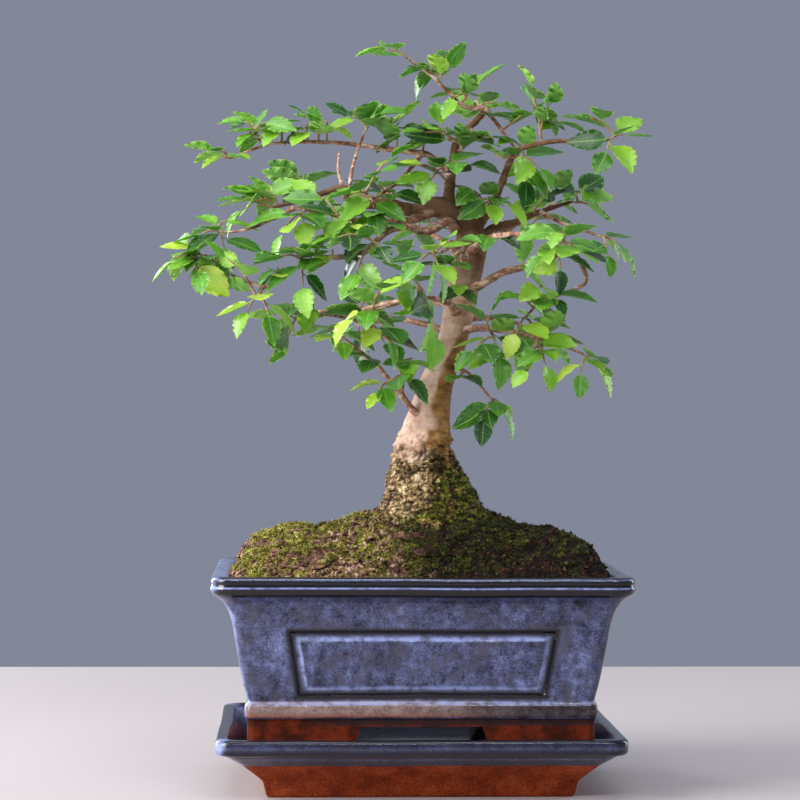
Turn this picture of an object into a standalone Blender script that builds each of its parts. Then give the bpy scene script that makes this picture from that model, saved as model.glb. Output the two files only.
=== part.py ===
"""A zelkova bonsai in a blue-glazed rectangular pot on its matching saucer.

Run it with: blender --background --python part.py
Lengths in the tables are millimetres, in a frame whose origin is the table under the pot's centre,
with +X to the right, +Y to the back and +Z up. The finished meshes are in metres, and the whole is
moved at the end so that its bounding box stands centred on the origin.
"""

import math
import random

import bmesh
import bpy
from mathutils import Matrix, Vector, noise
from mathutils.bvhtree import BVHTree

MM = 0.001
GAP = 0.3          # between pieces that rest on each other
WELD = 0.000002    # metres
COLLECTION = "zelkova_bonsai"

# Saucer: half sizes of the lip, then (inset from the lip, height) up the outside and down the inside.
SAUCER_HALF = (77.5, 59.0)
SAUCER_CORNER = 7.0
SAUCER_FLOOR = 16.5
SAUCER_PROFILE = (
    (24.0, 12.0), (23.0, 0.0), (19.5, 0.0), (18.9, 0.8), (17.4, 6.3), (9.3, 13.3), (3.2, 17.4),
    (0.8, 18.0), (0.0, 19.2), (0.0, 22.8), (0.9, 24.0), (3.8, 24.0), (4.8, 23.2), (10.4, SAUCER_FLOOR),
)

# Pot: half sizes of the rim, then (inset from the rim, height) from the foot up the outside.
POT_HALF = (80.0, 59.0)
POT_CORNER = 8.0
POT_FOOT = SAUCER_FLOOR + GAP
POT_UNDERSIDE = 27.5
POT_FLOOR = 34.5
POT_RIM = 84.6
POT_WALL = 5.6
POT_OUTSIDE = (
    (14.2, POT_FOOT), (13.8, 17.4), (14.0, 30.0), (13.4, 31.0), (13.4, 35.8), (14.2, 37.0), (11.6, 48.5),
    (9.8, 57.6), (8.6, 66.0), (6.4, 72.6), (2.6, 77.0), (0.4, 78.4), (0.0, 79.6), (0.0, 83.0), (1.6, POT_RIM),
)
POT_INSIDE = ((6.2, POT_RIM), (7.2, 83.6), (9.6, 74.0), (14.4, 62.0), (19.6, POT_FLOOR))
FOOT_RING = 9.0            # thickness of the foot ring before the arches are cut
ARCH_FRONT = (26.5, 23.0)  # half width of the arch at the foot and at its top
ARCH_SIDE = (17.0, 14.0)
PANEL_HEIGHTS = (39.6, 63.6)
PANEL_FRONT_HALF = (46.6, 50.2)   # half width at the bottom and the top of the sunk panel
PANEL_SIDE_HALF = (26.0, 29.0)
PANEL_BORDER = 3.2
PANEL_DEPTH = 1.3
DRAIN_X = 32.0
DRAIN_RADIUS = 9.2

# Drainage mesh squares and the wire staples that hold them.
MESH_HALF = 11.5
MESH_THICK = 1.2
MESH_HOLES = 3
MESH_HOLE_HALF = 2.6
WIRE_RADIUS = 0.6
STAPLE_HALF = 2 * MESH_HALF / MESH_HOLES

# Soil: its edge inside the pot, and the mound's crest.
SOIL_EDGE_HEIGHT = 82.6
SOIL_CREST = 100.5
SOIL_TOP_INSET = 7.9
SOIL_POINTS = 36
SOIL_RINGS = 7
TREE_X = 2.8             # the tree's tables are drawn this far left of where it stands
TRUNK_BASE = (2.0 + TREE_X, 0.0)
COLLAR_RADIUS = 23.2
COLLAR_RISE = 6.0
MOSS_LIFT = 0.35
# Moss patches: (first and last place round the mound, first and last ring outwards, thickness)
MOSS = {
    "moss_left": (15, 23, 3, 6, 2.4),
    "moss_around_trunk": (24, 31, 1, 4, 2.0),
    "moss_right": (32, 35, 4, 6, 2.2),
}

# Trunk and its leader: x, y, z and radius up the centreline.
TRUNK = (
    (2.0, 0.0, 86.0, 21.0), (2.0, 0.0, 89.0, 26.0), (2.0, 0.0, 96.0, 26.5), (2.0, 0.0, 102.0, 24.4),
    (2.0, 0.0, 107.0, 22.0), (1.8, 0.0, 112.0, 19.8), (1.2, 0.0, 117.0, 17.2), (1.2, 0.0, 122.0, 15.2),
    (1.2, 0.0, 127.0, 13.6), (1.4, 0.0, 132.0, 12.2), (2.2, 0.0, 137.0, 11.0), (3.2, 0.0, 144.0, 9.4),
    (4.0, 0.0, 151.0, 8.3), (5.6, 0.0, 157.0, 7.8), (8.6, 0.3, 163.0, 7.0), (11.6, 0.6, 170.0, 6.3),
    (13.5, 1.0, 179.0, 6.1), (14.6, 1.0, 191.0, 6.3), (16.6, 1.0, 203.0, 6.5), (18.4, 1.0, 212.0, 6.1),
    (17.6, 0.6, 219.0, 5.3), (13.0, 0.0, 224.0, 4.6), (7.0, -0.6, 227.0, 4.3), (1.5, -1.0, 228.0, 3.4),
)
TRUNK_SIDES = 16
ROUGH_BARK = (109.0, 139.0)   # heights between which the old bark is lumpy
PRUNED_STUB = ((4.2, -0.4, 146.0), (2.6, -0.8, 159.4))
STUB_RADIUS = 6.3

# Roots: points from the flare out into the soil.
ROOTS = (
    ((18, -4, 93), (30, -10, 89), (42, -18, 82), (52, -24, 74)),
    ((-14, -8, 93), (-28, -15, 88), (-40, -22, 80), (-52, -27, 70)),
    ((-16, 6, 93), (-30, 14, 88), (-44, 20, 80), (-54, 24, 71)),
    ((14, 12, 93), (26, 22, 88), (36, 29, 80)),
    ((2, -18, 93), (0, -28, 88), (-6, -37, 80)),
)
ROOT_RADII = (5.0, 1.6)

# Branches: points outwards from inside the wood that carries them, first and last radius.
BRANCHES = {
    "leader": (((9, 0, 225), (9.5, 1, 233), (10.4, 2, 241), (11.6, 3, 249), (14, 3, 256), (20, 2, 261.5),
                (25, 1, 267.5)), 2.4, 1.1),
    "top_sprig": (((24, 1, 266.5), (15.5, -2, 267), (9, -5, 272), (1.6, -8, 278.5), (-7, -11, 284)), 1.1, 0.5),
    "top_right": (((24, 1, 266.5), (30, 4, 259), (36, 8, 252), (39, 12, 246)), 0.9, 0.5),
    "top_back": (((19, 2, 261), (22, 12, 264), (25, 24, 266), (24, 34, 270)), 1.0, 0.5),
    "right_upper": (((17, 1, 214), (24, 4, 224), (29, 6, 233), (33.6, 5, 245), (38, 3, 251), (53, 1, 254),
                     (66, -1, 253), (73, -2, 254.5)), 2.2, 0.5),
    "right_mid": (((17, 1, 211), (27, 5, 219), (36, 8, 222), (48, 12, 227), (60, 14, 231)), 2.4, 0.6),
    "right_mid_low": (((47, 11.6, 226.6), (57, 6, 221), (68, 2, 217)), 0.9, 0.5),
    "right_front": (((16, -1, 208), (22, -12, 213), (30, -24, 215), (40, -35, 214), (49, -43, 211)), 1.8, 0.5),
    "right_back": (((17, 2, 206), (26, 16, 214), (36, 30, 221), (44, 44, 226), (50, 55, 229)), 1.9, 0.6),
    "right_low": (((15, -1, 194), (22, -5, 196.5), (30, -8, 201), (38, -10, 203), (46, -12, 206), (56, -14, 209),
                   (60.5, -15, 204), (62, -16, 197), (53, -17, 192.5), (44, -18, 189), (39, -18, 184)), 1.8, 0.45),
    "low_right_front": (((13, -1, 179), (24, -10, 179), (36, -17, 177), (50, -22, 173), (60, -24, 169)), 1.7, 0.5),
    "low_right_back": (((13, 2, 182), (24, 14, 184), (36, 24, 183), (48, 32, 179)), 1.6, 0.5),
    "bottom_right": (((9, -1, 165), (16, -7, 162), (21, -10, 157), (25, -12, 152)), 1.0, 0.45),
    "left_low": (((2, -2, 142), (-4, -6, 146), (-9.6, -9, 153), (-14.8, -11, 159), (-20, -13, 165),
                  (-34, -15, 176)), 1.6, 0.5),
    "left_low_twig": (((-9.6, -9, 153), (-9.5, -12, 162), (-11.5, -13, 171), (-20, -15, 178), (-34, -18, 183),
                       (-51, -20, 184)), 0.9, 0.45),
    "left_main": (((5, -0.5, 227), (-6, -2, 226), (-14, -4, 228), (-29.6, -6, 228), (-33, -7, 234),
                   (-48, -8, 229), (-60, -9, 226)), 2.8, 0.6),
    "left_upright": (((-29.6, -6, 228), (-30, -5, 236), (-28, -3, 246), (-24.4, -2, 256)), 0.9, 0.45),
    "left_upright_thin": (((-33, -7, 234), (-34.6, -4, 242), (-34, -2, 249)), 0.7, 0.42),
    "upper_left": (((10.4, 2, 240), (5, 4, 246), (-1, 5, 249), (-17.6, 6, 251), (-34, 6, 253), (-52.4, 5, 253),
                    (-63.6, 3, 251.4), (-77, 1, 246)), 1.3, 0.45),
    "upper_left_fork": (((-62, 3.4, 251.6), (-66, 3, 254), (-70, 2, 257)), 0.55, 0.42),
    "diagonal": (((-1, 5, 249), (-7, -2, 241), (-14, -10, 234), (-21, -16, 229)), 1.0, 0.45),
    "left_mid": (((4, -1, 226), (-8, -9, 221), (-27, -15, 220.5), (-40, -19, 223.5), (-54, -21, 225)), 1.9, 0.6),
    "left_mid_tip": (((-52, -20.7, 224.8), (-59, -21, 221), (-68, -22, 217), (-78, -22, 215)), 0.7, 0.42),
    "left_centre": (((12, -1, 219), (8, -9, 221), (0, -15, 216.5), (-9, -20, 218), (-17, -23, 215), (-26, -26, 207),
                     (-43, -28, 204.5), (-53, -29, 200), (-64, -30, 193)), 1.9, 0.6),
    "left_tip": (((-63, -30, 193.6), (-71, -29, 196.5), (-78, -28, 200), (-85, -27, 206)), 0.65, 0.42),
    "left_back": (((8, 1, 225), (-4, 14, 228), (-18, 26, 232), (-32, 36, 235), (-44, 44, 236)), 2.0, 0.6),
    "back": (((15, 3, 203), (12, 18, 212), (6, 34, 218), (2, 50, 221)), 1.9, 0.6),
    "back_low": (((13, 3, 187), (8, 16, 190), (-2, 30, 192), (-12, 42, 191), (-22, 50, 189)), 1.8, 0.6),
    "front_low": (((13, -2, 185), (8, -14, 189), (0, -27, 190), (-10, -38, 188), (-20, -46, 185)), 1.7, 0.5),
    "front": (((16, -2, 204), (14, -16, 209), (10, -30, 210), (6, -44, 208), (3, -54, 206)), 1.7, 0.55),
    "left_low_back": (((11, 2, 177), (2, 12, 181), (-12, 22, 184), (-28, 28, 186), (-42, 32, 187)), 1.5, 0.5),
}

THIN_BRANCH = 1.2   # branches thinner than this are modelled with four sides

# Leafy shoots: (branch, how far along it the shoot starts, the ends of its stems)
SHOOTS = (
    ("top_sprig", 1.0, ((-19, -15, 289),)),
    ("top_sprig", 0.62, ((9, -8, 284), (-1, 1, 280))),
    ("top_sprig", 0.28, ((22, -5, 278), (12, 6, 276), (8, -10, 269))),
    ("top_right", 0.95, ((47, 14, 241), (40, 1, 237))),
    ("top_back", 0.98, ((22, 46, 277), (35, 32, 273))),
    ("leader", 0.50, ((29, -9, 256), (-5, -12, 257), (4, 12, 263))),
    ("leader", 0.26, ((-8, -15, 244), (0, -18, 236), (20, -14, 244))),
    ("right_upper", 0.18, ((17, -10, 236), (36, -6, 230), (26, -12, 228))),
    ("right_upper", 0.66, ((41, -4, 279), (50, -6, 272), (56, 4, 262))),
    ("right_upper", 0.99, ((81, -3, 257), (70, -8, 247), (60, -8, 265))),
    ("right_upper", 0.50, ((48, -6, 242), (26, 12, 251), (32, -8, 256))),
    ("right_mid", 0.62, ((53, 2, 239), (42, 22, 234))),
    ("right_mid", 0.99, ((72, 9, 227), (61, 24, 240))),
    ("right_mid_low", 0.98, ((84, -3, 208), (72, -10, 206))),
    ("right_front", 0.98, ((58, -52, 206), (46, -56, 216), (38, -50, 204))),
    ("right_back", 0.98, ((58, 66, 226), (62, 48, 236), (44, 60, 219))),
    ("right_low", 0.42, ((60, -25, 213), (52, -27, 199))),
    ("right_low", 0.86, ((40, -28, 197), (50, -26, 190))),
    ("right_low", 0.99, ((32, -27, 174), (46, -13, 173))),
    ("low_right_front", 0.98, ((67, -27, 163), (57, -36, 159))),
    ("low_right_front", 0.62, ((46, -34, 162), (50, -25, 184), (34, -34, 160))),
    ("low_right_front", 0.28, ((28, -25, 166), (24, -26, 188), (15, -26, 168))),
    ("low_right_back", 0.98, ((60, 38, 172), (43, 46, 172), (50, 30, 190))),
    ("bottom_right", 0.97, ((34, -15, 144), (20, -18, 141))),
    ("left_low", 0.48, ((-20, -18, 153), (-4, -22, 161))),
    ("left_low", 0.98, ((-43, -16, 181), (-33, -25, 172))),
    ("left_low_twig", 0.98, ((-56, -24, 170), (-63, -19, 185))),
    ("left_low_twig", 0.5, ((-24, -30, 184), (-15, -28, 170))),
    ("left_main", 0.98, ((-72, -8, 235), (-76, -12, 224), (-60, -2, 234))),
    ("left_main", 0.28, ((-22, -15, 238), (-14, 9, 237), (-12, -20, 230))),
    ("left_upright", 0.97, ((-17, -4, 267), (-33, -7, 265))),
    ("upper_left", 0.99, ((-86, -1, 250),)),
    ("upper_left_fork", 0.9, ((-57, 4, 263), (-74, 4, 262))),
    ("upper_left", 0.6, ((-47, 2, 264), (-37, 8, 261))),
    ("upper_left", 0.3, ((-22, 2, 266), (-8, 0, 268), (-2, 14, 261))),
    ("diagonal", 0.97, ((-33, -24, 231), (-20, -28, 221), (-13, -22, 248))),
    ("left_mid", 0.6, ((-41, -31, 213), (-28, -32, 217), (-46, -12, 234))),
    ("left_mid", 0.88, ((-59, -34, 212), (-48, -34, 218))),
    ("left_mid_tip", 0.97, ((-92, -24, 214), (-78, -31, 207), (-76, -12, 222))),
    ("left_centre", 0.5, ((-18, -40, 209), (-30, -38, 196), (-40, -38, 213))),
    ("left_centre", 0.78, ((-60, -40, 206), (-48, -40, 190), (-50, -40, 210))),
    ("left_tip", 0.98, ((-103, -29, 204), (-94, -20, 212), (-88, -34, 196))),
    ("left_centre", 0.98, ((-72, -36, 181), (-60, -40, 180), (-80, -38, 208))),
    ("left_back", 0.98, ((-58, 52, 238), (-42, 58, 230), (-52, 38, 246))),
    ("back", 0.97, ((-4, 66, 219), (14, 62, 228), (0, 54, 238))),
    ("back_low", 0.97, ((-35, 60, 183), (-18, 64, 196), (-24, 44, 174))),
    ("front_low", 0.97, ((-33, -54, 180), (-18, -58, 195), (-14, -50, 170))),
    ("front_low", 0.5, ((-14, -40, 202), (3, -40, 172), (-8, -38, 182))),
    ("front", 0.97, ((-8, -66, 201), (12, -64, 212), (4, -62, 194))),
)

# Leaves
LEAF_SPACING = 5.8
LEAF_LENGTH = (11.5, 16.5)
LEAF_WIDTH = 0.62                # of its length
LEAF_OUTLINE = ((0.30, 0.84), (0.66, 0.90))   # (along the leaf, half width of the full half width)
LEAF_CROWN = 0.45                # the midrib's rise over the upper side
LEAF_KEEL = 0.35                 # and below the under side
LEAF_CLEAR = 0.35
LEAF_TRIES = 24
LEAF_STALK = 1.8                 # the stretch of a leaf that may touch its own stem
# A leaf's corners: near side, crown, other near side, keel, the two far sides, tip
LEAF_FACES = ((1, 0, 4), (1, 4, 6), (1, 6, 5), (1, 5, 2), (3, 4, 0), (3, 6, 4), (3, 5, 6), (3, 2, 5))
ROOT_FACES = ((7, 0, 1), (7, 1, 2), (7, 2, 3), (7, 3, 0))
STEM_HALF = (0.34, 0.24)         # half thickness of a square stem at its start and its end
STEM_SHORT = 5.0                 # a stem stops this far short of its end, which its last leaf passes
FORKS = (0.16, 0.34)             # how far along a shoot's first stem its side stems start
STEM_JOINT = 0.32                # half length of the stretch of a stem that carries a leaf
SEED = 11

MATERIALS = {
    # name: (colour, roughness, metallic)
    "glaze": ((0.085, 0.105, 0.22), 0.16, 0.0),
    "terracotta": ((0.42, 0.13, 0.055), 0.75, 0.0),
    "soil": ((0.055, 0.028, 0.018), 0.95, 0.0),
    "moss": ((0.19, 0.25, 0.03), 0.9, 0.0),
    "bark": ((0.40, 0.27, 0.19), 0.8, 0.0),
    "leaf": ((0.10, 0.32, 0.05), 0.42, 0.0),
    "mesh_plastic": ((0.02, 0.02, 0.02), 0.5, 0.0),
    "wire": ((0.30, 0.17, 0.10), 0.35, 1.0),
}


def clear_scene():
    for item in list(bpy.data.objects):
        bpy.data.objects.remove(item, do_unlink=True)


def make_materials():
    made = {}
    for name, (colour, roughness, metallic) in MATERIALS.items():
        material = bpy.data.materials.new(name)
        material.use_nodes = True
        shader = material.node_tree.nodes["Principled BSDF"]
        shader.inputs["Base Color"].default_value = (*colour, 1.0)
        shader.inputs["Roughness"].default_value = roughness
        shader.inputs["Metallic"].default_value = metallic
        made[name] = material
    return made


def mesh_object(name, bm, place=None):
    """A mesh object from bm, whose lengths are millimetres."""
    bmesh.ops.scale(bm, vec=(MM, MM, MM), verts=bm.verts)
    bmesh.ops.recalc_face_normals(bm, faces=bm.faces)
    mesh = bpy.data.meshes.new(name)
    bm.to_mesh(mesh)
    bm.free()
    made = bpy.data.objects.new(name, mesh)
    (place or bpy.context.scene.collection).objects.link(made)
    return made


def loft(rings):
    """A closed bmesh through rings that have the same number of points, capped at both ends."""
    bm = bmesh.new()
    rows = [[bm.verts.new(point) for point in ring] for ring in rings]
    count = len(rows[0])
    for low, high in zip(rows, rows[1:]):
        for i in range(count):
            j = (i + 1) % count
            bm.faces.new((low[i], low[j], high[j], high[i]))
    bm.faces.new(rows[0][::-1])
    bm.faces.new(rows[-1])
    return bm


def rounded_rectangle(half_x, half_y, corner, height, per_corner=3):
    """Points round a rectangle with round corners, at one height, from +X anticlockwise."""
    corner = max(corner, 0.5)
    points = []
    for quarter in range(4):
        sign_x = 1 if quarter in (0, 3) else -1
        sign_y = 1 if quarter in (0, 1) else -1
        for step in range(per_corner):
            angle = math.pi / 2 * (quarter + step / (per_corner - 1))
            points.append(Vector((
                sign_x * (half_x - corner) + corner * math.cos(angle),
                sign_y * (half_y - corner) + corner * math.sin(angle),
                height,
            )))
    return points


def profile_rings(half, corner, profile):
    return [
        rounded_rectangle(half[0] - inset, half[1] - inset, corner - 0.35 * inset, height)
        for inset, height in profile
    ]


def tube(name, points, first_radius, last_radius, sides_level):
    """A round, tapering rod along points, as a closed mesh object."""
    curve = bpy.data.curves.new(name + "_line", "CURVE")
    curve.dimensions = "3D"
    curve.bevel_depth = MM
    curve.bevel_resolution = sides_level
    curve.use_fill_caps = True
    spline = curve.splines.new("POLY")
    spline.points.add(len(points) - 1)
    for i, (target, point) in enumerate(zip(spline.points, points)):
        share = i / (len(points) - 1)
        target.co = (*(Vector(point) * MM), 1.0)
        target.radius = first_radius + (last_radius - first_radius) * share
    holder = bpy.data.objects.new(name + "_line", curve)
    bpy.context.scene.collection.objects.link(holder)
    made = solid_copy(holder, name)
    bpy.data.objects.remove(holder, do_unlink=True)
    return made


def solid_copy(source, name):
    """The evaluated shape of source as a new mesh object with its loose seams welded."""
    bpy.context.view_layer.update()
    graph = bpy.context.evaluated_depsgraph_get()
    mesh = bpy.data.meshes.new_from_object(source.evaluated_get(graph))
    mesh.name = name
    bm = bmesh.new()
    bm.from_mesh(mesh)
    bmesh.ops.remove_doubles(bm, verts=bm.verts, dist=WELD)
    bm.to_mesh(mesh)
    bm.free()
    made = bpy.data.objects.new(name, mesh)
    made.matrix_world = source.matrix_world.copy()
    bpy.context.scene.collection.objects.link(made)
    return made


def combine(target, operation, others, crossing=False):
    """The Boolean of target with each of the others, which are used up, as a new object."""
    name = target.name
    for other in others:
        modifier = target.modifiers.new(operation.lower(), "BOOLEAN")
        modifier.operation = operation
        modifier.object = other
        modifier.use_self = crossing
    target.name = name + "_before"
    made = solid_copy(target, name)
    for item in (target, *others):
        bpy.data.objects.remove(item, do_unlink=True)
    return made


def box(name, low, high):
    bm = bmesh.new()
    bmesh.ops.create_cube(bm, size=1.0)
    for vertex in bm.verts:
        vertex.co = Vector(
            (high[i] if vertex.co[i] > 0 else low[i]) for i in range(3)
        )
    return mesh_object(name, bm)


def cylinder(name, radius, centre, low, high, sides=24):
    bm = bmesh.new()
    bmesh.ops.create_cone(bm, cap_ends=True, segments=sides, radius1=radius, radius2=radius, depth=high - low)
    bmesh.ops.translate(bm, verts=bm.verts, vec=(centre[0], centre[1], (low + high) / 2))
    return mesh_object(name, bm)


def slanted_block(name, bottom_half, top_half, low, high, depth, across):
    """A block through the foot ring whose ends slant in towards its top; across is its axis, 0 or 1."""
    rings = []
    for half, height in ((bottom_half, low), (top_half, high)):
        corners = ((-half, -depth), (half, -depth), (half, depth), (-half, depth))
        rings.append([Vector((x, y, height) if across == 0 else (y, x, height)) for x, y in corners])
    return mesh_object(name, loft(rings))


def make_saucer():
    rings = profile_rings(SAUCER_HALF, SAUCER_CORNER, SAUCER_PROFILE)
    return mesh_object("saucer", loft(rings))


def pot_wall_inset(height):
    """How far the pot's outer wall lies inside its rim at a height."""
    for (inset_a, low), (inset_b, high) in zip(POT_OUTSIDE, POT_OUTSIDE[1:]):
        if low <= height <= high:
            return inset_a + (inset_b - inset_a) * (height - low) / (high - low)
    return 0.0


def panel_groove(name, halves, side, sign):
    """The sunk border of a wall panel, a frame-shaped cutter that follows the sloping wall."""
    low, high = PANEL_HEIGHTS
    half_depth = POT_HALF[1 - side]
    heights = (low, (low + high) / 2, high)
    widths = (halves[0], sum(halves) / 2, halves[1])

    def ring(height, half, push):
        wall = half_depth - pot_wall_inset(height)
        near, far = wall - push, wall + 6.0
        corners = ((-half, near), (half, near), (half, far), (-half, far))
        return [Vector((x, sign * y, height) if side == 0 else (sign * y, x, height)) for x, y in corners]

    outer = mesh_object(name, loft([ring(z, w, PANEL_DEPTH) for z, w in zip(heights, widths)]))
    step = PANEL_BORDER
    inner_heights = (low + step, sum(heights[::2]) / 2, high - step)
    inner_widths = [w - step for w in widths]
    core = mesh_object(
        name + "_field", loft([ring(z, w, PANEL_DEPTH - 0.75) for z, w in zip(inner_heights, inner_widths)])
    )
    field = mesh_object(
        name + "_keep", loft([ring(z, w, 3.0) for z, w in zip(inner_heights, inner_widths)])
    )
    return combine(combine(outer, "DIFFERENCE", [field]), "UNION", [core])


def make_pot():
    ring_inside = (POT_OUTSIDE[0][0] + FOOT_RING, POT_FOOT)
    under = ((40.0, POT_UNDERSIDE), (POT_OUTSIDE[0][0] + FOOT_RING + 0.6, POT_UNDERSIDE), ring_inside)
    profile = (*under, *POT_OUTSIDE, *POT_INSIDE)
    pot = mesh_object("pot", loft(profile_rings(POT_HALF, POT_CORNER, profile)))
    cutters = [
        slanted_block("arch_front", *ARCH_FRONT, POT_FOOT - 2, POT_UNDERSIDE, POT_HALF[1], 0),
        slanted_block("arch_side", *ARCH_SIDE, POT_FOOT - 2, POT_UNDERSIDE, POT_HALF[0], 1),
    ]
    for sign in (-1, 1):
        place = (sign * DRAIN_X, 0)
        cutters.append(cylinder("drain", DRAIN_RADIUS, place, POT_UNDERSIDE - 2, POT_FLOOR + 2))
        cutters.append(panel_groove("panel_long", PANEL_FRONT_HALF, 0, sign))
        cutters.append(panel_groove("panel_short", PANEL_SIDE_HALF, 1, sign))
    return combine(pot, "DIFFERENCE", cutters)


def make_drain_mesh(name, x):
    low = POT_FLOOR + GAP
    plate = box(name, (x - MESH_HALF, -MESH_HALF, low), (x + MESH_HALF, MESH_HALF, low + MESH_THICK))
    pitch = 2 * MESH_HALF / MESH_HOLES
    holes = bmesh.new()
    for i in range(MESH_HOLES):
        for j in range(MESH_HOLES):
            made = bmesh.ops.create_cube(holes, size=1.0)["verts"]
            bmesh.ops.scale(holes, vec=(2 * MESH_HOLE_HALF, 2 * MESH_HOLE_HALF, 4 * MESH_THICK), verts=made)
            centre = [-MESH_HALF + pitch * (k + 0.5) for k in (i, j)]
            bmesh.ops.translate(holes, vec=(x + centre[0], centre[1], low + MESH_THICK / 2), verts=made)
    return combine(plate, "DIFFERENCE", [mesh_object(name + "_holes", holes)])


def make_wire(name, x):
    """A staple: over the mesh, down through two of its holes and out under the pot's floor."""
    top = POT_FLOOR + 2 * GAP + MESH_THICK + WIRE_RADIUS
    under = POT_UNDERSIDE - GAP - WIRE_RADIUS
    half = STAPLE_HALF
    y = 0.0
    points = (
        (x - half - 7.0, y, under - 0.8), (x - half - 0.9, y, under), (x - half, y, under + 1.2),
        (x - half, y, top - 0.9), (x - half + 0.9, y, top), (x + half - 0.9, y, top), (x + half, y, top - 0.9),
        (x + half, y, under + 1.2), (x + half + 0.9, y, under), (x + half + 7.0, y, under - 0.8),
    )
    return tube(name, points, WIRE_RADIUS, WIRE_RADIUS, 1)


def trunk_radius(height):
    for (*_, low, radius_a), (*_, high, radius_b) in zip(TRUNK, TRUNK[1:]):
        if low <= height <= high:
            return radius_a + (radius_b - radius_a) * (height - low) / (high - low)
    return TRUNK[0][3]


def mound_height(x, y):
    """The soil's upper surface: a plateau with steep sides, rising to the trunk."""
    half_x, half_y = (POT_HALF[k] - SOIL_TOP_INSET for k in (0, 1))
    across = min(abs(x) / half_x, 1.0)
    along = min(abs(y) / half_y, 1.0)
    plateau = (1 - across ** 5.0) * (1 - along ** 2.2)
    distance = max(math.hypot(x - TRUNK_BASE[0], y - TRUNK_BASE[1]) - COLLAR_RADIUS, 0.0)
    lift = SOIL_CREST - SOIL_EDGE_HEIGHT + COLLAR_RISE * math.exp(-((distance / 12.0) ** 2))
    fade = min(1.0, 4 * (1 - across), 4 * (1 - along), distance / 8.0)
    lumps = 2.8 * noise.noise(Vector((x / 12.0, y / 12.0, 4.0))) * fade
    return SOIL_EDGE_HEIGHT + lift * plateau + lumps


def soil_grid():
    """The mound's surface points, ring by ring from the trunk's collar out to the pot's wall."""
    half = [POT_HALF[k] - SOIL_TOP_INSET for k in (0, 1)]
    outline = []
    for i in range(SOIL_POINTS):
        angle = 2 * math.pi * i / SOIL_POINTS
        direction = Vector((math.cos(angle), math.sin(angle)))
        reach = min(half[k] / max(abs(direction[k]), 1e-6) for k in (0, 1))
        blend = (abs(direction.x) / half[0]) ** 8 + (abs(direction.y) / half[1]) ** 8
        outline.append(direction * min(reach, blend ** (-1 / 8)))
    rows = []
    for ring in range(SOIL_RINGS + 1):
        share = ring / SOIL_RINGS
        row = []
        for i in range(SOIL_POINTS):
            angle = 2 * math.pi * i / SOIL_POINTS
            collar = Vector(TRUNK_BASE) + Vector((math.cos(angle), math.sin(angle))) * COLLAR_RADIUS
            if ring == 0:
                height = max(mound_height(*collar), TRUNK[3][2] + 1.0)
                row.append(collar_point(angle, height))
                continue
            spot = collar.lerp(outline[i], share)
            row.append(Vector((spot.x, spot.y, mound_height(spot.x, spot.y))))
        rows.append(row)
    return rows


def collar_point(angle, height):
    """A point of the soil beside the trunk, a gap away from it."""
    radius = (trunk_radius(height) + 1.4 * GAP) / math.cos(math.pi / SOIL_POINTS)
    return Vector((TRUNK_BASE[0] + radius * math.cos(angle), TRUNK_BASE[1] + radius * math.sin(angle), height))


def make_soil(grid):
    pocket = []
    for height in (TRUNK[0][2] - GAP, TRUNK[1][2], TRUNK[2][2], TRUNK[3][2]):
        pocket.append([collar_point(2 * math.pi * i / SOIL_POINTS, height) for i in range(SOIL_POINTS)])
    wall = []
    inside = [(inset, height) for inset, height in POT_INSIDE if height < SOIL_EDGE_HEIGHT]
    top_half = [POT_HALF[k] - SOIL_TOP_INSET for k in (0, 1)]
    for inset, height in inside:
        lifted = max(height, POT_FLOOR + GAP)
        scale = [(POT_HALF[k] - inset - 2 * GAP) / top_half[k] for k in (0, 1)]
        wall.append([Vector((p.x * scale[0], p.y * scale[1], lifted)) for p in grid[-1]])
    soil = mesh_object("soil", loft([*pocket, *grid, *wall]))
    cutters = []
    for root in ROOTS:
        *rest, before, tip = (Vector(p) + Vector((TREE_X, 0, 0)) for p in root)
        beyond = tip + (tip - before).normalized() * 2 * GAP
        radii = [radius + 2 * GAP for radius in ROOT_RADII]
        cutters.append(tube("root_pocket", [*rest, before, beyond], *radii, 1))
    for sign in (-1, 1):
        low = (sign * DRAIN_X - MESH_HALF - GAP, -MESH_HALF - GAP, POT_FLOOR - 1)
        high = (sign * DRAIN_X + MESH_HALF + GAP, MESH_HALF + GAP, POT_FLOOR + MESH_THICK + 2.4)
        cutters.append(box("mesh_pocket", low, high))
    return combine(soil, "DIFFERENCE", cutters)


def make_moss(name, grid, first, last, inner, outer, thickness):
    """A pad of moss over part of the mound's own grid, lifted clear of the soil."""
    bm = bmesh.new()
    under, upper = {}, {}
    for ring in range(inner, outer + 1):
        for place in range(first, last + 1):
            spot = grid[ring][place % SOIL_POINTS]
            edge = min(ring - inner, outer - ring, place - first, last - place)
            swell = thickness * (0.25 if edge == 0 else 0.8 + 0.3 * noise.noise(spot / 7.0))
            under[ring, place] = bm.verts.new(spot + Vector((0, 0, MOSS_LIFT)))
            upper[ring, place] = bm.verts.new(spot + Vector((0, 0, MOSS_LIFT + swell)))
    for sheet in (under, upper):
        for ring in range(inner, outer):
            for place in range(first, last):
                bm.faces.new((sheet[ring, place], sheet[ring, place + 1],
                              sheet[ring + 1, place + 1], sheet[ring + 1, place]))
    border = [(inner, p) for p in range(first, last)] + [(r, last) for r in range(inner, outer)]
    border += [(outer, p) for p in range(last, first, -1)] + [(r, first) for r in range(outer, inner, -1)]
    for a, b in zip(border, border[1:] + border[:1]):
        bm.faces.new((under[a], under[b], upper[b], upper[a]))
    return mesh_object(name, bm)


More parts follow.
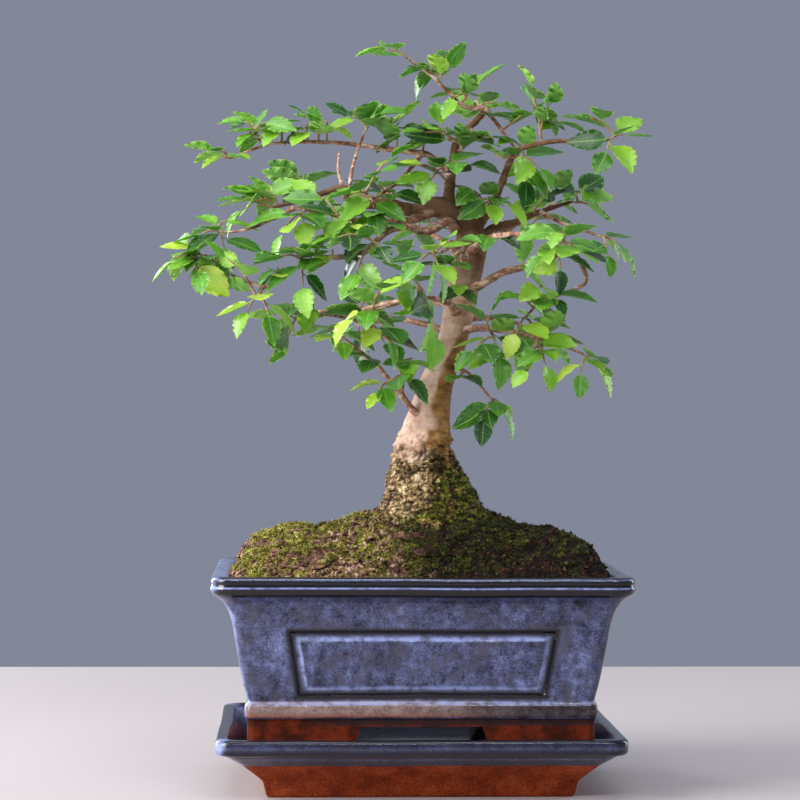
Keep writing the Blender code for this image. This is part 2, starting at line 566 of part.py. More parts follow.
def make_trunk():
    """The trunk as a loft of rings square to its centreline, lumpy where the bark is old."""
    centres = [Vector(row[:3]) for row in TRUNK]
    rings = []
    side = Vector((1, 0, 0))
    for i, (*_, height, radius) in enumerate(TRUNK):
        ahead = centres[min(i + 1, len(centres) - 1)] - centres[max(i - 1, 0)]
        ahead.normalize()
        side = (side - ahead * side.dot(ahead)).normalized()
        other = ahead.cross(side)
        rough = 0.11 if ROUGH_BARK[0] < height < ROUGH_BARK[1] else 0.0
        ring = []
        for k in range(TRUNK_SIDES):
            angle = 2 * math.pi * k / TRUNK_SIDES
            out = side * math.cos(angle) + other * math.sin(angle)
            swell = 1 + rough * noise.noise((centres[i] + out * radius) / 5.0)
            ring.append(centres[i] + out * radius * swell)
        rings.append(ring)
    return mesh_object("trunk_and_branches", loft(rings))


def make_wood():
    wood = make_trunk()
    limbs = [tube("stub", PRUNED_STUB, STUB_RADIUS + 0.4, STUB_RADIUS, 3)]
    limbs += [tube("root", root, *ROOT_RADII, 1) for root in ROOTS]
    for name, (points, first, last) in BRANCHES.items():
        limbs.append(tube(name, points, first, last, 1 if first > THIN_BRANCH else 0))
    return combine(wood, "UNION", limbs)


def along(points, share):
    """The point at a share of the length of a line through points."""
    points = [Vector(p) for p in points]
    lengths = [(b - a).length for a, b in zip(points, points[1:])]
    left = share * sum(lengths)
    for a, b, length in zip(points, points[1:], lengths):
        if left <= length:
            return a.lerp(b, left / length)
        left -= length
    return points[-1]


def tree_of(item):
    """A search tree over a mesh object, in millimetres."""
    vertices = [item.matrix_world @ v.co / MM for v in item.data.vertices]
    faces = [tuple(p.vertices) for p in item.data.polygons]
    return BVHTree.FromPolygons(vertices, faces)


def leaf_points(root, direction, upward, length, grow=0.0):
    """The corners of a leaf, a thin lens with a midrib on both sides, and last its root."""
    ahead = direction.normalized()
    up = (upward - ahead * upward.dot(ahead)).normalized()
    side = up.cross(ahead)
    half = LEAF_WIDTH * length / 2 + grow
    (near, near_width), (far, far_width) = LEAF_OUTLINE
    middle = root + ahead * near * length
    outer = root + ahead * far * length
    return [
        middle + side * near_width * half, middle + up * (LEAF_CROWN + grow),
        middle - side * near_width * half, middle - up * (LEAF_KEEL + grow),
        outer + side * far_width * half, outer - side * far_width * half,
        root + ahead * (length + grow), root,
    ]


def leaf_tree(*leaf):
    return BVHTree.FromPolygons(leaf_points(*leaf), [*LEAF_FACES, *ROOT_FACES])


def leaf_is_clear(root, direction, upward, length, obstacles, rods):
    """Whether a leaf clears everything, and past its stalk also its own shoot's stems."""
    tree = leaf_tree(root, direction, upward, length, LEAF_CLEAR)
    if any(obstacle.overlap(tree) for obstacle in obstacles):
        return False
    past = root + direction.normalized() * LEAF_STALK
    tree = leaf_tree(past, direction, upward, length - LEAF_STALK)
    return not any(rod.overlap(tree) for rod in rods)


def rod_tree(points, radius):
    """A search tree over a square rod along points."""
    vertices, faces = [], []
    for i, point in enumerate(points):
        ahead = (points[min(i + 1, len(points) - 1)] - points[max(i - 1, 0)]).normalized()
        side = ahead.orthogonal().normalized() * radius
        other = ahead.cross(side)
        vertices += [point + side, point + other, point - side, point - other]
        if i:
            low, high = 4 * (i - 1), 4 * i
            faces += [(low + k, low + (k + 1) % 4, high + (k + 1) % 4, high + k) for k in range(4)]
    return BVHTree.FromPolygons(vertices, faces)


def stem_points(start, end, bend):
    """A shoot's stem: a line that bows out by bend at the middle."""
    return [start.lerp(end, share / 6) + bend * 4 * share / 6 * (1 - share / 6) for share in range(7)]


def clear_stem(start, end, rng, obstacles):
    """The stem from start towards end that keeps farthest from the wood and the shoots before it."""
    length = (end - start).length
    end = end - (end - start) * min(STEM_SHORT / length, 0.35)
    best, best_room = None, -1.0
    for attempt in range(24):
        reach = 0.04 * attempt
        bend = Vector((0, 0, 0.1)) + Vector(rng.uniform(-reach, reach) for _ in range(3))
        stem = stem_points(start, end, bend * length)
        room = min(
            obstacle.find_nearest(along(stem, 0.08 + 0.92 * step / 14))[3]
            for step in range(15) for obstacle in obstacles
        )
        if room > best_room:
            best, best_room = stem, room
        if best_room > 1.5 * STEM_HALF[0] + GAP:
            break
    return best


def shoot_start(wood_tree, on_branch, end):
    """Where the line from inside the branch towards the shoot's end is clear of the wood."""
    direction = (end - on_branch).normalized()
    spot = on_branch
    while True:
        hit = wood_tree.ray_cast(spot + direction * 0.02, direction, 3.0)[0]
        if hit is None:
            break
        spot = hit
    while wood_tree.find_nearest(spot)[3] < 1.5 * STEM_HALF[0] + GAP:
        spot = spot + direction * 0.05
    return spot


def stem_frame(stem, share):
    """A stem's centre, and its directions ahead, sideways and up, at a share of its length."""
    whole = (stem[-1] - stem[0]).normalized()
    steady = Vector((0, 0, 1)) if abs(whole.z) < 0.85 else Vector((1, 0, 0))
    ahead = (along(stem, min(1.0, share + 0.1)) - along(stem, max(0.0, share - 0.1))).normalized()
    side = ahead.cross(steady).normalized()
    return along(stem, share), ahead, side, side.cross(ahead)


def place_leaves(stem, rng, obstacles, rods):
    """Alternate leaves up a stem and one at its end, each turned until it's clear of the rest."""
    length = sum((b - a).length for a, b in zip(stem, stem[1:]))
    count = max(2, round(length / LEAF_SPACING))
    hand = rng.choice((-1, 1))
    leaves = []
    for i in range(count + 1):
        last = i == count
        share = 1.0 if last else (i + 0.55) / (count + 0.55)
        centre, ahead, side, up = stem_frame(stem, share)
        root = centre if last else centre + side * hand * STEM_HALF[1]
        size = rng.uniform(*LEAF_LENGTH) * (0.82 + 0.26 * math.sin(math.pi * min(1.0, share + 0.15)))
        for attempt in range(LEAF_TRIES):
            spread = 0.0 if last else hand * rng.uniform(0.75, 1.15)
            direction = ahead * math.cos(spread) + side * math.sin(spread) + up * rng.uniform(-0.45, 0.35)
            outward = Vector((root.x - TRUNK_BASE[0], root.y - 25.0, 0)).normalized()
            face = up + side * rng.uniform(-0.5, 0.5) + outward * rng.uniform(0.2, 1.5)
            reach = size * (1 - 0.02 * attempt)
            if leaf_is_clear(root, direction, face, reach, obstacles, rods):
                leaves.append((share, 0 if last else hand, (root, direction, face, reach)))
                obstacles.append(leaf_tree(*leaves[-1][2]))
                break
        hand = -hand
    return leaves


def add_leaf(bm, socket, leaf):
    """Grows a leaf out of four corners of a stem, which go anticlockwise seen from outside."""
    corners = [bm.verts.new(point) for point in leaf_points(*leaf)[:-1]]
    for face in LEAF_FACES:
        bm.faces.new([corners[i] for i in face])
    turn = min(range(4), key=lambda k: sum((socket[(i + k) % 4].co - corners[i].co).length for i in range(4)))
    for i in range(4):
        a, b = socket[(i + turn) % 4], socket[(i + 1 + turn) % 4]
        bm.faces.new((a, b, corners[(i + 1) % 4], corners[i]))


def stem_object(name, stem, leaves):
    """One stem with its leaves, as one closed mesh."""
    bm = bmesh.new()
    length = sum((b - a).length for a, b in zip(stem, stem[1:]))

    def ring(share):
        centre, _, side, up = stem_frame(stem, min(max(share, 0.0), 1.0))
        half = STEM_HALF[0] + (STEM_HALF[1] - STEM_HALF[0]) * share
        return [bm.verts.new(centre + side * x * half + up * y * half) for x, y in ((1, 1), (1, -1), (-1, -1), (-1, 1))]

    def wall(low, high, open_side=None):
        for i in range(4):
            if i != open_side:
                bm.faces.new((low[i], low[(i + 1) % 4], high[(i + 1) % 4], high[i]))

    before = ring(0.0)
    bm.faces.new(before)
    for share, hand, leaf in leaves:
        if hand == 0:
            continue
        low, high = (ring(share + sign * STEM_JOINT / length) for sign in (-1, 1))
        wall(before, low)
        first, second = (0, 1) if hand > 0 else (2, 3)
        wall(low, high, first)
        add_leaf(bm, (high[first], low[first], low[second], high[second]), leaf)
        before = high
    end = ring(1.0)
    wall(before, end)
    if leaves and leaves[-1][1] == 0:
        add_leaf(bm, (end[0], end[1], end[2], end[3]), leaves[-1][2])
    else:
        bm.faces.new(end)
    return mesh_object(name, bm)


def grow_shoot(name, on_branch, ends, rng, wood_tree, others):
    """One leafy shoot: a stem, and up to two side stems that fork from it."""
    first_end, *fork_ends = (Vector(end) for end in ends)
    stems = [clear_stem(shoot_start(wood_tree, on_branch, first_end), first_end, rng, others)]
    for place, end in zip(FORKS, fork_ends):
        stems.append(clear_stem(along(stems[0], place), end, rng, others))
    rods = [rod_tree(stem, STEM_HALF[0] + 0.1) for stem in stems]
    obstacles = list(others)
    pieces = []
    for stem in stems:
        leaves = place_leaves(stem, rng, obstacles, rods)
        pieces.append(stem_object(name if not pieces else name + "_fork", stem, leaves))
    return combine(pieces[0], "UNION", pieces[1:])


def is_sound(item, others):
    """Whether a shoot is one closed body that touches nothing before it."""
    bm = bmesh.new()
    bm.from_mesh(item.data)
    bmesh.ops.triangulate(bm, faces=bm.faces)
    bm.to_mesh(item.data)
    closed = all(len(edge.link_faces) == 2 for edge in bm.edges)
    seen, queue = set(), [bm.verts[:][0]]
    while queue:
        vertex = queue.pop()
        if vertex not in seen:
            seen.add(vertex)
            queue += [edge.other_vert(vertex) for edge in vertex.link_edges]
    whole = len(seen) == len(bm.verts)
    bm.free()
    tree = tree_of(item)
    return closed and whole and not any(other.overlap(tree) for other in others)


def make_shoots(wood):
    rng = random.Random(SEED)
    wood_tree = tree_of(wood)
    others = [wood_tree]
    made = []
    for number, (branch, share, ends) in enumerate(SHOOTS, 1):
        on_branch = along(BRANCHES[branch][0], share)
        name = f"leafy_shoot_{number:02d}_{branch}"
        item = grow_shoot(name, on_branch, ends, rng, wood_tree, others)
        for _ in range(12):
            if is_sound(item, others):
                break
            bpy.data.objects.remove(item, do_unlink=True)
            item = grow_shoot(name, on_branch, ends, rng, wood_tree, others)
        others.append(tree_of(item))
        made.append(item)
    return made


def centre_on_origin(parts):
    """Moves every part so that the whole stands centred over the origin."""
    bpy.context.view_layer.update()
    corners = [item.matrix_world @ v.co for item in parts for v in item.data.vertices]
    low = [min(c[k] for c in corners) for k in range(3)]
    high = [max(c[k] for c in corners) for k in range(3)]
    shift = Vector((-(low[0] + high[0]) / 2, -(low[1] + high[1]) / 2, -low[2]))
    for item in parts:
        item.data.transform(Matrix.Translation(shift) @ item.matrix_world)
        item.matrix_world = Matrix.Identity(4)


def finish(parts, materials, looks):
    collection = bpy.data.collections.new(COLLECTION)
    bpy.context.scene.collection.children.link(collection)
    for item in parts:
        for holder in list(item.users_collection):
            holder.objects.unlink(item)
        collection.objects.link(item)
        item.data.materials.clear()
        item.data.materials.append(materials[looks(item.name)])


def look_of(name):
    if name in ("saucer", "pot"):
        return "glaze"
    if name.startswith("leafy_shoot"):
        return "leaf"
    if name.startswith("moss"):
        return "moss"
    if name.startswith("drain_mesh"):
        return "mesh_plastic"
    if name.startswith("mesh_wire"):
        return "wire"
    return "bark" if name == "trunk_and_branches" else "soil"


def main():
    clear_scene()
    materials = make_materials()
    grid = soil_grid()
    parts = [make_saucer(), make_pot(), make_soil(grid)]
    for name, patch in MOSS.items():
        parts.append(make_moss(name, grid, *patch))
    for word, sign in (("left", -1), ("right", 1)):
        parts.append(make_drain_mesh(f"drain_mesh_{word}", sign * DRAIN_X))
        parts.append(make_wire(f"mesh_wire_{word}", sign * DRAIN_X))
    wood = make_wood()
    tree = [wood, *make_shoots(wood)]
    for item in tree:
        item.data.transform(Matrix.Translation(Vector((TREE_X * MM, 0, 0))))
    parts += tree
    centre_on_origin(parts)
    finish(parts, materials, look_of)


main()
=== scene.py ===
"""The looks of a zelkova bonsai in its blue-glazed pot on a matching saucer.

Lengths in the tables are millimetres, in a frame whose origin is the table under the pot's centre,
with +X to the right, +Y to the back and +Z up. A finished piece is in metres, in the model's frame.
"""

import math
import random

import bmesh
import bpy
import numpy as np
from mathutils import Matrix, Vector, noise
from mathutils.bvhtree import BVHTree


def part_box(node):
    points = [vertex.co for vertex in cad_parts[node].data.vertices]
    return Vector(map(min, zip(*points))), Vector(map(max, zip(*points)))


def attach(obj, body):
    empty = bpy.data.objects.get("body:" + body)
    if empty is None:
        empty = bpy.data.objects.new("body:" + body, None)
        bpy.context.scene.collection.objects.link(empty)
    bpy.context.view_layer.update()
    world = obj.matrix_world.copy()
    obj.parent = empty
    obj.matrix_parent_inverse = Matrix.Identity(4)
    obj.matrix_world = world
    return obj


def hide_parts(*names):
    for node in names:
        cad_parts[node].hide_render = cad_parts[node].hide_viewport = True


MM = 0.001
BODY = "root"

# Photograph's view: level, from a little to the left.
EYE_HEIGHT = 0.1508
EYE_DISTANCE = 0.964
EYE_TURN = math.radians(-2.5)
EYE_ROLL = math.radians(0.25)
EYE_AIM = -0.0018
LENS = 109.4
FLOOR_SIDE, FLOOR_FRONT, FLOOR_BACK = 1.0, -1.0, 0.41

# Saucer: half sizes of the lip, then (inset from the lip, height) from under the floor outwards and in.
SAUCER_HALF = (77.5, 59.0)
SAUCER_CORNER = 7.0
SAUCER_PROFILE = (
    (24.0, 12.0), (23.2, 6.0), (22.6, 0.4), (22.0, 0.0), (20.0, 0.0), (19.3, 0.3), (18.9, 0.9), (17.6, 6.2),
    (17.0, 7.0), (10.2, 12.9), (9.0, 13.7), (3.6, 17.3), (2.9, 17.9), (1.1, 18.0), (0.4, 18.5), (0.0, 19.3),
    (0.0, 22.6), (0.3, 23.4), (1.0, 23.9), (3.4, 24.0), (4.2, 23.8), (4.8, 23.2), (9.6, 17.4), (10.8, 16.6),
    (13.0, 16.5),
)
SAUCER_GLAZE_LINE = 13.2

# Pot: half sizes of the rim, then (inset from the rim, height). The foot's rows follow the arches.
POT_HALF = (80.0, 59.0)
POT_CORNER = 8.0
POT_FOOT = 16.8
POT_UNDERSIDE = 27.5
POT_FLOOR = 34.5
POT_FOOT_INSIDE = ((23.9, 27.5), (23.7, 27.1), (23.2, 17.6), (22.8, 17.0), (22.2, 16.8))
POT_OUTSIDE = (
    (15.0, 16.8), (14.4, 17.0), (14.1, 17.5), (14.1, 24.0), (14.1, 29.4), (13.9, 30.3), (13.4, 30.9),
    (13.1, 31.8), (13.0, 33.4), (13.1, 35.0), (13.5, 36.0), (14.2, 36.9), (13.9, 38.2), (12.9, 42.2),
    (11.8, 47.4), (10.7, 52.8), (9.8, 57.6), (9.1, 62.2), (8.3, 66.6), (7.3, 70.2), (6.0, 73.0), (4.4, 75.2),
    (2.6, 76.8), (1.2, 77.7), (0.6, 78.3), (0.2, 79.0), (0.0, 79.9), (0.0, 80.6), (0.35, 81.3), (0.4, 82.2),
    (0.15, 83.0), (0.5, 83.9), (1.3, 84.5), (2.4, 84.6),
)
POT_INSIDE = (
    (5.4, 84.6), (6.3, 84.4), (6.9, 83.8), (7.3, 82.6), (9.6, 74.0), (14.4, 62.0), (19.0, 38.0), (19.6, 35.4),
    (20.6, 34.5),
)
ARCHES = ((23.0, 26.5), (14.0, 17.0))       # half widths at the top and at the foot, long and short walls
ARCH_TOP = 27.3
ARCH_FADE = 30.0                            # above this height a wall's rows are level
PANEL_LOW, PANEL_HIGH = 39.6, 63.6
PANEL_HALVES = ((46.6, 50.2), (26.0, 29.0)) # half widths at the bottom and the top
PANEL_BORDER = 3.2
PANEL_DEPTH = 1.3
FIELD_DEPTH = 0.5
DRAIN_X = 32.0
DRAIN_RADIUS = 9.2
GLAZE_LINE = 30.6

# Soil
SOIL_HALF = (72.3, 51.3)
SOIL_AROUND, SOIL_OUTWARDS = 300, 84
SOIL_BANK = (                               # rise of the mound's ends: distance from the middle, rise
    (36.0, 0.0), (46.0, 1.2), (56.0, 2.8), (62.0, 4.6), (67.0, 5.0), (70.5, 2.8), (72.3, 0.0),
)
SOIL_MOSS = (                               # moss patches: middle, half sizes
    ((27.0, -8.0), (22.0, 26.0)), ((-34.0, -2.0), (15.0, 15.0)), ((-64.0, -38.0), (7.0, 12.0)),
    ((4.0, -40.0), (16.0, 9.0)), ((-6.0, 28.0), (24.0, 12.0)),
)
SOIL_WALL = ((8.0, 81.0), (9.9, 74.0), (14.7, 62.0), (19.8, 36.4))   # insets from the rim, and heights

# Tree. Its tables are drawn this far left of where it stands.
TREE_X = 2.8
TRUNK = (
    (2.0, 0.0, 86.0, 21.0), (2.0, 0.0, 89.0, 26.0), (2.0, 0.0, 96.0, 26.5), (2.0, 0.0, 102.0, 24.2),
    (1.8, 0.0, 107.0, 21.4), (1.5, 0.0, 112.0, 18.9), (1.0, 0.0, 117.0, 16.4), (0.4, 0.0, 122.0, 14.4),
    (0.0, 0.0, 127.0, 13.0), (-0.2, 0.0, 132.0, 11.8), (0.7, 0.0, 137.0, 10.3), (1.9, 0.0, 144.0, 8.5),
    (3.2, 0.0, 151.0, 7.4), (4.8, 0.2, 157.0, 6.6), (7.0, 0.4, 163.0, 6.0), (9.8, 0.7, 170.0, 5.8),
    (12.4, 1.0, 179.0, 5.9), (14.4, 1.0, 191.0, 6.2), (16.6, 1.0, 203.0, 6.5), (18.4, 1.0, 212.0, 6.1),
    (17.6, 0.6, 219.0, 5.3), (13.0, 0.0, 224.0, 4.6), (7.0, -0.6, 227.0, 4.3), (1.5, -1.0, 228.0, 3.0),
)
TRUNK_AROUND = 150
TRUNK_SPACING = 142.0 / 230                  # from one ring of points to the next
OLD_BARK = 141.0                             # below this height the bark is corky
PRUNED_STUB = (                              # the last rows turn in over the cut
    (2.0, -0.6, 144.0, 7.0), (1.6, -1.2, 148.0, 6.2), (1.5, -1.6, 152.0, 5.2), (1.4, -1.8, 155.5, 4.8),
    (1.4, -1.8, 158.0, 4.9), (1.4, -1.8, 158.7, 4.5), (1.4, -1.8, 158.8, 4.0), (1.4, -1.8, 158.0, 3.4),
)
ROOTS = (
    ((18, -4, 93), (30, -10, 89), (42, -18, 82), (52, -24, 74)),
    ((-14, -8, 93), (-28, -15, 88), (-40, -22, 80), (-52, -27, 70)),
    ((-16, 6, 93), (-30, 14, 88), (-44, 20, 80), (-54, 24, 71)),
    ((14, 12, 93), (26, 22, 88), (36, 29, 80)),
    ((2, -18, 93), (0, -28, 88), (-6, -37, 80)),
)
ROOT_RADII = (5.0, 1.6)

# Branches: points outwards from inside the wood that carries them, first and last radius.
BRANCHES = {
    "leader": (((9, 0, 225), (9.5, 1, 233), (10.4, 2, 241), (11.6, 3, 249), (14, 3, 256), (20, 2, 261.5),
                (25, 1, 267.5)), 2.4, 1.1),
    "top_sprig": (((24, 1, 266.5), (15.5, -2, 267), (9, -5, 272), (1.6, -8, 278.5),
                   (-7, -11, 284)), 1.1, 0.5),
    "top_right": (((24, 1, 266.5), (30, 4, 259), (36, 8, 252), (39, 12, 246)), 0.9, 0.5),
    "top_back": (((19, 2, 261), (22, 12, 264), (25, 24, 266), (24, 34, 270)), 1.0, 0.5),
    "right_upper": (((17, 1, 214), (24, 4, 224), (29, 6, 233), (33.6, 5, 245), (38, 3, 251), (53, 1, 254),
                     (66, -1, 253), (73, -2, 254.5)), 2.2, 0.5),
    "right_mid": (((17, 1, 211), (27, 5, 219), (36, 8, 222), (48, 12, 227), (60, 14, 231)), 2.4, 0.6),
    "right_mid_low": (((47, 11.6, 226.6), (57, 6, 221), (68, 2, 217)), 0.9, 0.5),
    "right_front": (((16, -1, 208), (22, -12, 213), (30, -24, 215), (40, -35, 214),
                     (49, -43, 211)), 1.8, 0.5),
    "right_back": (((17, 2, 206), (26, 16, 214), (36, 30, 221), (44, 44, 226), (50, 55, 229)), 1.9, 0.6),
    "right_low": (((15, -1, 194), (22, -5, 196.5), (30, -8, 201), (38, -10, 203), (46, -12, 206),
                   (56, -14, 209), (60.5, -15, 204), (62, -16, 197), (53, -17, 192.5), (44, -18, 189),
                   (39, -18, 184)), 1.8, 0.45),
    "low_right_front": (((13, -1, 179), (24, -10, 179), (36, -17, 177), (50, -22, 173),
                         (60, -24, 169)), 1.7, 0.5),
    "low_right_back": (((13, 2, 182), (24, 14, 184), (36, 24, 183), (48, 32, 179)), 1.6, 0.5),
    "bottom_right": (((9, -1, 165), (16, -7, 162), (21, -10, 157), (25, -12, 152)), 1.0, 0.45),
    "left_low": (((2, -2, 142), (-4, -6, 146), (-9.6, -9, 153), (-14.8, -11, 159), (-20, -13, 165),
                  (-34, -15, 176)), 1.6, 0.5),
    "left_low_twig": (((-9.6, -9, 153), (-9.5, -12, 162), (-11.5, -13, 171), (-20, -15, 178), (-34, -18, 183),
                       (-51, -20, 184)), 0.9, 0.45),
    "left_main": (((5, -0.5, 227), (-6, -2, 226), (-14, -4, 228), (-29.6, -6, 228), (-33, -7, 234),
                   (-48, -8, 229), (-60, -9, 226)), 2.8, 0.6),
    "left_upright": (((-29.6, -6, 228), (-30, -5, 236), (-28, -3, 246), (-24.4, -2, 256)), 0.9, 0.45),
    "left_upright_thin": (((-33, -7, 234), (-34.6, -4, 242), (-34, -2, 249)), 0.7, 0.42),
    "upper_left": (((10.4, 2, 240), (5, 4, 246), (-1, 5, 249), (-17.6, 6, 251), (-34, 6, 253),
                    (-52.4, 5, 253), (-63.6, 3, 251.4), (-77, 1, 246)), 1.3, 0.45),
    "upper_left_fork": (((-62, 3.4, 251.6), (-66, 3, 254), (-70, 2, 257)), 0.55, 0.42),
    "diagonal": (((-1, 5, 249), (-7, -2, 241), (-14, -10, 234), (-21, -16, 229)), 1.0, 0.45),
    "left_mid": (((4, -1, 226), (-8, -9, 221), (-27, -15, 220.5), (-40, -19, 223.5),
                  (-54, -21, 225)), 1.9, 0.6),
    "left_mid_tip": (((-52, -20.7, 224.8), (-59, -21, 221), (-68, -22, 217), (-78, -22, 215)), 0.7, 0.42),
    "left_centre": (((12, -1, 219), (8, -9, 221), (0, -15, 216.5), (-9, -20, 218), (-17, -23, 215),
                     (-26, -26, 207), (-43, -28, 204.5), (-53, -29, 200), (-64, -30, 193)), 1.9, 0.6),
    "left_tip": (((-63, -30, 193.6), (-71, -29, 196.5), (-78, -28, 200), (-85, -27, 206)), 0.65, 0.42),
    "left_back": (((8, 1, 225), (-4, 14, 228), (-18, 26, 232), (-32, 36, 235), (-44, 44, 236)), 2.0, 0.6),
    "back": (((15, 3, 203), (12, 18, 212), (6, 34, 218), (2, 50, 221)), 1.9, 0.6),
    "back_low": (((13, 3, 187), (8, 16, 190), (-2, 30, 192), (-12, 42, 191), (-22, 50, 189)), 1.8, 0.6),
    "front_low": (((13, -2, 185), (8, -14, 189), (0, -27, 190), (-10, -38, 188), (-20, -46, 185)), 1.7, 0.5),
    "front": (((16, -2, 204), (14, -16, 209), (10, -30, 210), (6, -44, 208), (3, -54, 206)), 1.7, 0.55),
    "left_low_back": (((11, 2, 177), (2, 12, 181), (-12, 22, 184), (-28, 28, 186), (-42, 32, 187)), 1.5, 0.5),
}

# Leaves
LEAF_LEAST = 6.0            # shortest leaf of a packed shoot
LEAF_CREASE = 0.80          # mm between a packed leaf's crown and keel
LEAF_FLANKS = 0.66          # how far along a packed leaf its far side corners lie
LEAF_GROWTH = 1.10          # detailed leaf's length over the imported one's
LEAF_TEETH = 6
LEVEL_SHARE = 0.72          # leaves that turn their faces to the sky
LEAF_LEVEL = (0.35, 0.85)   # how far they turn
LEAF_SHAPES = (             # (fold, droop of the tip, sideways bend, ripple)
    (0.22, 0.10, 0.05, 0.5), (0.34, 0.22, -0.06, 1.0), (0.12, 0.04, 0.02, 0.7),
    (0.28, -0.06, 0.08, 0.4), (0.18, 0.30, -0.03, 1.2), (0.42, 0.14, 0.04, 0.8),
)
SPURS = (                   # tip of a short spur on old wood, where its leaves head in degrees, their number
    ((-88, -27, 205), 180, 5), ((-80, -20, 203), 150, 3), ((-66, 4, 258), 165, 3), ((-57, 3, 260), 170, 3),
    ((-47, 4, 260), 190, 3), ((-39, 3, 261), 175, 3), ((-81, 1, 247), 250, 3), ((-70, -9, 229), 185, 4),
    ((-60, -7, 232), 150, 3), ((-58, -30, 201), 200, 4), ((-46, -29, 208), 190, 3), ((-37, -28, 208), 170, 3),
    ((-44, -22, 189), 200, 3), ((3, -8, 282), 160, 3), ((44, 4, 268), 60, 4), ((38, 2, 264), 140, 3),
    ((-11, 2, 256), 180, 3), ((0, 2, 256), 150, 3), ((19, -3, 256), 250, 3), ((26, -15, 216), 300, 3),
    ((-22, -16, 167), 230, 3), ((-6, -14, 167), 260, 3), ((13, -8, 160), 290, 2), ((43, -23, 170), 280, 3),
    ((37, -20, 191), 250, 3), ((14, -14, 196), 250, 3), ((6, -18, 203), 240, 3), ((-18, -22, 222), 230, 3),
)
SPUR_RADII = (0.55, 0.38)
SPUR_LEAVES = (10.5, 15.0)  # lengths
SEED = 5

# How the pieces are divided and worked up
CORNER_PLACE = 1000.0       # stands for a place round a corner, past the end of any wall
CORNER_SEGMENTS = 8
CORNER_SHRINK, LEAST_CORNER = 0.35, 0.8
WALL_SEGMENTS = ((12, 8, 8), (8, 4, 8))
PANEL_STEPS = (-0.9, -0.45, 0.0, 0.45, 0.9)     # columns at each side of a panel's edges
PANEL_ROWS = (-0.7, -0.25, 0.25, 0.7)
PANEL_EASE = 0.9
OFF_PANEL = -50.0
RIM_HIGHLIGHT_LINES = (80.6, 83.6)    # heights of the painted highlight lines along the rim
MOULDING = (30.6, 37.4)
DRAIN_SEGMENTS = 40
SOIL_LUMPS = ((9.0, 3, 4.0, 1.5), (3.2, 3, 8.0, 0.9), (1.5, 2, 2.0, 0.45))     # size, octaves, seed, height
BARK_RIDGES = ((3.2, 3, 6.0, 1.2), (1.5, 2, 3.0, 0.5))
TRUNK_ROWS_BELOW_BEND = 21
PRUNING_SCAR = (9.2, -5.6, 146.5)
KNOT_PITCH = 7.0
STUB_AROUND = 40
SIDES = ((1, "left"), (-1, "right"))
STEM_SWELL = 0.17           # added all round a packed shoot's bare stems
LEAF_STALK, LEAF_STALK_RADIUS = 0.09, 0.022     # in leaf lengths, as the next are
LEAF_THICKNESS, LEAF_CROWN, LEAF_WAVE, LEAF_BACKSET = 0.016, 0.012, 0.010, 0.02
CRUMBS = (1.0, 1.0, 1.0, 1.6, 2.4)              # how long each kind is
SPRIGS = (4, 5, 5, 6)                           # blades of each kind
PADS = {"moss_left": 4, "moss_around_trunk": 7, "moss_right": 9}    # seeds
# Number to the square metre, seed, smallest and largest size, lean
CRUMB_COVER = (3.6e5, 3, 0.6, 2.0, 0.8)
PAD_COVER = (9.0e5, 0.7, 1.7, 0.5)              # its seed is the pad's
SOIL_COVER = (8.0e5, 33, 0.6, 1.5, 0.5)
TRUNK_COVER = (6.0e5, 21, 0.5, 1.3, 0.5)
LIGHT_AIM = (0.0, 0.0, 0.15)
LIGHTS = {                  # place, sides, watts, colour
    "window": ((-0.95, -0.45, 0.55), (0.6, 0.9), 20.5, (1.0, 0.985, 0.96)),
    "ceiling": ((-0.15, -0.25, 1.15), (0.9, 0.5), 5.0, (1.0, 1.0, 1.0)),
    "strip": ((0.25, -1.2, 1.0), (1.2, 0.02), 7.0, (1.0, 1.0, 1.0)),
    "back_window": ((-0.75, 0.75, 0.35), (0.25, 0.8), 7.0, (0.93, 0.96, 1.0)),
    "far_window": ((0.95, 0.45, 0.40), (0.35, 0.8), 3.5, (0.93, 0.96, 1.0)),
}


class Value:
    """A shader socket that takes part in sums."""

    def __init__(self, finish, socket):
        self.finish, self.socket = finish, socket

    def _sum(self, operation, first, second=0.0):
        return self.finish.node("ShaderNodeMath", {"operation": operation}, {0: first, 1: second})

    def __add__(self, other):
        return self._sum("ADD", self, other)

    def __sub__(self, other):
        return self._sum("SUBTRACT", self, other)

    def __rsub__(self, other):
        return self._sum("SUBTRACT", other, self)

    def __mul__(self, other):
        return self._sum("MULTIPLY", self, other)

    __radd__, __rmul__ = __add__, __mul__

    def largest(self, other):
        return self._sum("MAXIMUM", self, other)

    def absolute(self):
        return self._sum("ABSOLUTE", self)

    def fraction(self):
        return self._sum("FRACT", self)

    def between(self, low, high):
        """0 at low, 1 at high, eased and clamped."""
        settings = {"interpolation_type": "SMOOTHSTEP"}
        return self.finish.node("ShaderNodeMapRange", settings, {0: self, 1: low, 2: high, 3: 0.0, 4: 1.0})


